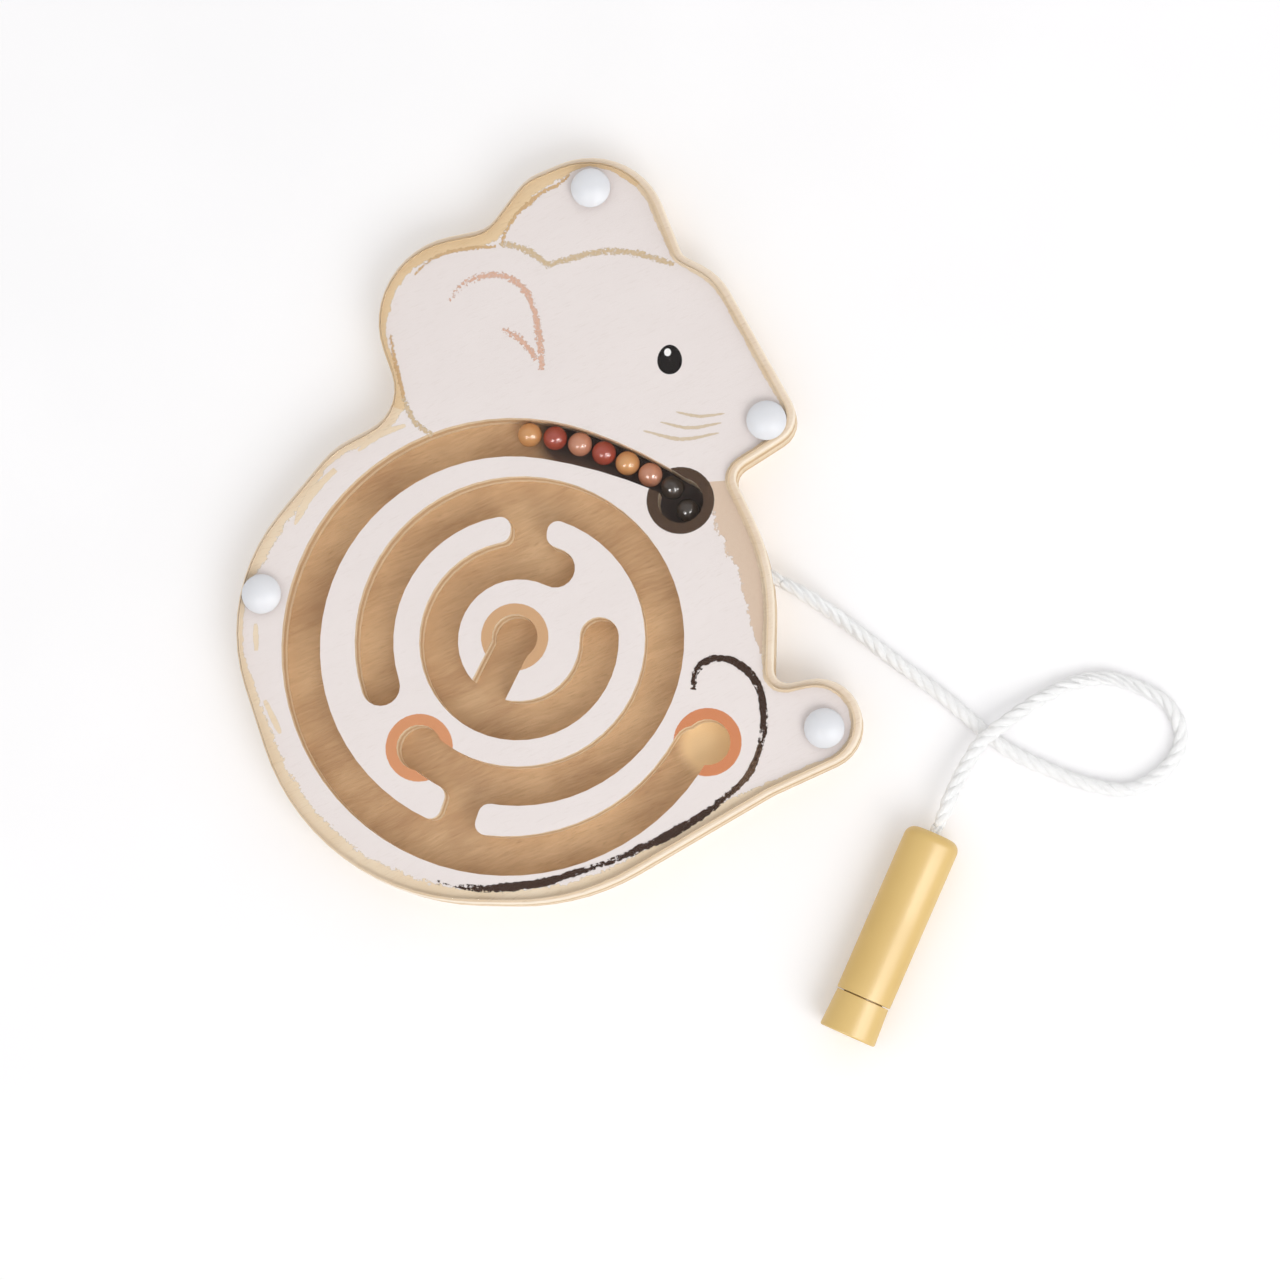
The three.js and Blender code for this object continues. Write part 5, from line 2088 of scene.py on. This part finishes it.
    def fluff(self, path: list[Vector]) -> Mesh:
        """Make loose fibres that stand off the cord.

        Args:
            path: Middle of the cord.

        Returns:
            The mesh of the fibres.
        """
        draw = random.Random(self.seed)
        frames = self.frames(path)
        points: list[Vector] = []
        faces: list[tuple[int, ...]] = []
        for _ in range(self.hairs):
            i = draw.randrange(len(path) - self.bare_end)
            ahead, side, other = frames[i]
            angle = draw.uniform(0, math.tau)
            out = side * math.cos(angle) + other * math.sin(angle)
            way = ahead * draw.uniform(-1, 1) + ahead.cross(out) * draw.uniform(-1, 1)
            way = (way + out * draw.uniform(*self.hair_lift)).normalized()
            root = path[i] + out * self.diameter * self.hair_root
            length = draw.uniform(*self.hair_length) * MM
            curl = out * draw.uniform(-self.hair_curl, self.hair_curl) * MM
            thick = draw.uniform(*self.hair_thick) * MM
            flat = way.cross(out).normalized() * thick
            rise = way.cross(flat).normalized() * thick
            first = len(points)
            for share in (0.0, 0.5, 1.0):
                middle = root + way * length * share + curl * share * share
                middle.z = max(middle.z, thick * 2)
                thin = 1 - self.hair_taper * share
                behind = middle - flat * thin * 0.5
                points.extend((middle + flat * thin, behind + rise * thin, behind - rise * thin))
            for low in (first, first + 3):
                for k, n in ((0, 1), (1, 2), (2, 0)):
                    faces.append((low + k, low + n, low + 3 + n, low + 3 + k))
            faces.append((first + 2, first + 1, first))
            faces.append((first + 6, first + 7, first + 8))
        mesh = smooth_mesh("cord_fluff", points, faces)
        blank = [0.0] * len(points)
        hold(mesh, {"around": blank, "along": blank})
        return mesh

    def build(self, effects: SurfaceEffects, wand: list[Piece]) -> None:
        """Make the free cord, its two hidden ends and the loose fibres.

        Args:
            effects: Shared node groups.
            wand: Pieces of the wand on the cord's far end; not used.
        """
        material = CottonFinish().build(effects)
        path = smooth_path([at(*place) for place in self.route], self.step)
        length = sum((q - p).length for p, q in zip(path, path[1:]))
        leave = (path[1] - path[0]).normalized()
        arrive = (path[-1] - path[-2]).normalized()
        steps = self.tail_steps
        tail_path = [path[0] - leave * self.tail_inside * (1 - i / steps) for i in range(steps + 1)]
        steps = self.neck_steps
        neck_path = [path[-1] + arrive * self.neck_inside * i / steps for i in range(steps + 1)]
        tail = self.twist("cord_tail_twist", tail_path, -self.tail_inside, length)
        keep(put(tail, material), Body.BOARD.value, Slot.COTTON, "cord_tail")
        neck = self.twist("cord_neck_twist", neck_path, length, length)
        keep(put(neck, material), Body.WAND.value, Slot.COTTON, "cord_knot")
        free = self.twist("cord_twist", path, 0.0, length)
        cord = keep(put(free, material), Body.CORD.value, Slot.COTTON, "cord")
        fluff = keep(put(self.fluff(path), material), Body.CORD.value, Slot.COTTON)


@dataclass
class Studio:
    """White table, even light from all sides, soft lamps at the front and the camera.

    Attributes:
        eye: Place of the camera.
        aim: Place in the middle of the picture.
        lens: Focal length, in millimetres.
        sensor: Width of the camera's sensor, in millimetres.
        near: Distance at which the camera's view begins.
        sky: Brightness of the even light from all sides.
        key: Power of the large soft lamp at the front right, in watts.
        key_direction: Its direction from the middle of the picture.
        key_size: Length of its sides.
        key_distance: Its distance from the board.
        boxes: Name, direction, size in metres and power in watts of each soft box that only reflections show.
        box_distance: Their distance from the board.
        table_size: Length of the table's sides.
        table_drop: Depth of the table's top under the toy.
        table_colours: The two whites of the table.
        table_scale: Its unevenness, in waves a metre.
        table_lift: Light that the table sends to the camera alone, for a white background.
    """

    eye: Vector
    aim: Vector
    lens: float = 101.25
    sensor: float = 36.0
    near: float = 0.01
    sky: float = 0.775
    key: float = 6.5
    key_direction: tuple[float, float, float] = (0.42, -0.55, 0.72)
    key_size: float = 0.8
    key_distance: float = 1.4
    boxes: tuple[tuple[str, tuple[float, float, float], float, float], ...] = (
        ("right", (0.80, -0.36, 0.43), 0.27, 2.7),
        ("high right", (0.53, -0.34, 0.78), 0.3, 4.6),
        ("high front", (-0.36, -0.50, 0.78), 0.3, 4.2),
    )
    box_distance: float = 0.8
    table_size: float = 6.0
    table_drop: float = 0.02 * MM
    table_colours: tuple[Colour, Colour] = (srgb(252, 251, 252), srgb(250, 249, 250))
    table_scale: float = 300.0
    table_lift: float = 0.058

    def camera(self) -> None:
        """Place the camera and make it the scene's own."""
        data = bpy.data.cameras.new("camera")
        data.lens = self.lens
        data.sensor_width = self.sensor
        data.clip_start = self.near
        camera = bpy.data.objects.new("camera", data)
        ahead = (self.aim - self.eye).normalized()
        right = ahead.cross(Vector((0.0, 1.0, 0.0))).normalized()
        up = right.cross(ahead)
        turn = Matrix((right, up, -ahead)).transposed().to_4x4()
        camera.matrix_world = Matrix.Translation(self.eye) @ turn
        bpy.context.scene.collection.objects.link(camera)
        bpy.context.scene.camera = camera

    def lamp(self, name: str, direction: tuple[float, float, float], distance: float, power: float,
             size: float) -> Piece:
        """Hang a square lamp over the board.

        Args:
            name: The lamp's name.
            direction: Direction of the lamp from the middle of the picture.
            distance: Its distance.
            power: Its power, in watts.
            size: Length of its sides.

        Returns:
            The lamp.
        """
        data = bpy.data.lights.new(name, "AREA")
        data.energy = power
        data.size = size
        lamp = bpy.data.objects.new(name, data)
        away = Vector(direction).normalized()
        turn = away.to_track_quat("Z", "Y").to_matrix().to_4x4()
        lamp.matrix_world = Matrix.Translation(self.aim + away * distance) @ turn
        bpy.context.scene.collection.objects.link(lamp)
        return lamp

    def lamps(self) -> None:
        """Hang the large key lamp and the soft boxes whose shine shows on the wand and the balls."""
        self.lamp("soft key lamp", self.key_direction, self.key_distance, self.key, self.key_size)
        for name, direction, size, power in self.boxes:
            box = self.lamp(f"{name} soft box", direction, self.box_distance, power, size)
            box.visible_diffuse = False
            box.visible_camera = False

    def world(self) -> None:
        """Light everything evenly, with plain white behind the toy and in reflections."""
        world = bpy.data.worlds.new("white studio")
        world.use_nodes = True
        bpy.context.scene.world = world
        sheet = NodeSheet(world.node_tree)
        rays = sheet.add("ShaderNodeLightPath").outputs
        mirrored = sheet.math("MAXIMUM", rays["Is Glossy Ray"], rays["Is Transmission Ray"])
        seen = sheet.math("MAXIMUM", rays["Is Camera Ray"], mirrored)
        strength = sheet.math("MULTIPLY_ADD", seen, 1.0 - self.sky, self.sky)
        sheet.fill(world.node_tree.nodes["Background"], Color=WHITE, Strength=strength)

    def table(self, effects: SurfaceEffects) -> None:
        """Lay the white table under the toy.

        Args:
            effects: Shared node groups.
        """
        half = self.table_size / 2
        square = ((-half, -half), (half, -half), (half, half), (-half, half))
        corners = [Vector((x, y, -self.table_drop)) for x, y in square]
        mesh = smooth_mesh("table", corners, [(0, 1, 2, 3)])
        material, sheet, shader = new_finish(
            "white table", Roughness=0.8, Specular_IOR_Level=0.1, Emission_Color=WHITE
        )
        slow = sheet.use(effects.mottle, Place=sheet.place(), Scale=self.table_scale)["Slow"]
        camera_ray = sheet.add("ShaderNodeLightPath").outputs["Is Camera Ray"]
        lift = sheet.math("MULTIPLY", camera_ray, self.table_lift)
        sheet.fill(shader, Base_Color=sheet.blend(slow, *self.table_colours), Emission_Strength=lift)
        put(mesh, material)

    def build(self, effects: SurfaceEffects) -> None:
        """Set up camera, lamps, world and table.

        Args:
            effects: Shared node groups.
        """
        self.camera()
        self.lamps()
        self.world()
        self.table(effects)
        bpy.context.scene.view_settings.view_transform = "Standard"


def main() -> None:
    """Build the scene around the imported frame."""
    logging.basicConfig(level=logging.INFO, format="%(name)s: %(message)s")
    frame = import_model()
    nodes = frame["nodes"]
    effects = SurfaceEffects()
    Studio(eye=at(108.74, -105.29, 880.15), aim=at(29.73, -0.23, 12.0)).build(effects)
    wand = Wand(face=at(100.9, -47.7, 7.2)).build(nodes, effects)
    Cord().build(effects, wand)
    maze = WoodBoards().build(nodes, effects)
    outline = Outline(nodes["clear_cover"])
    BoardPrint(effects, outline).build(maze)
    ClearCover().build(nodes["clear_cover"], effects)
    Rivets().build(nodes, effects)
    Balls().build(effects)


if __name__ == "__main__":
    main()
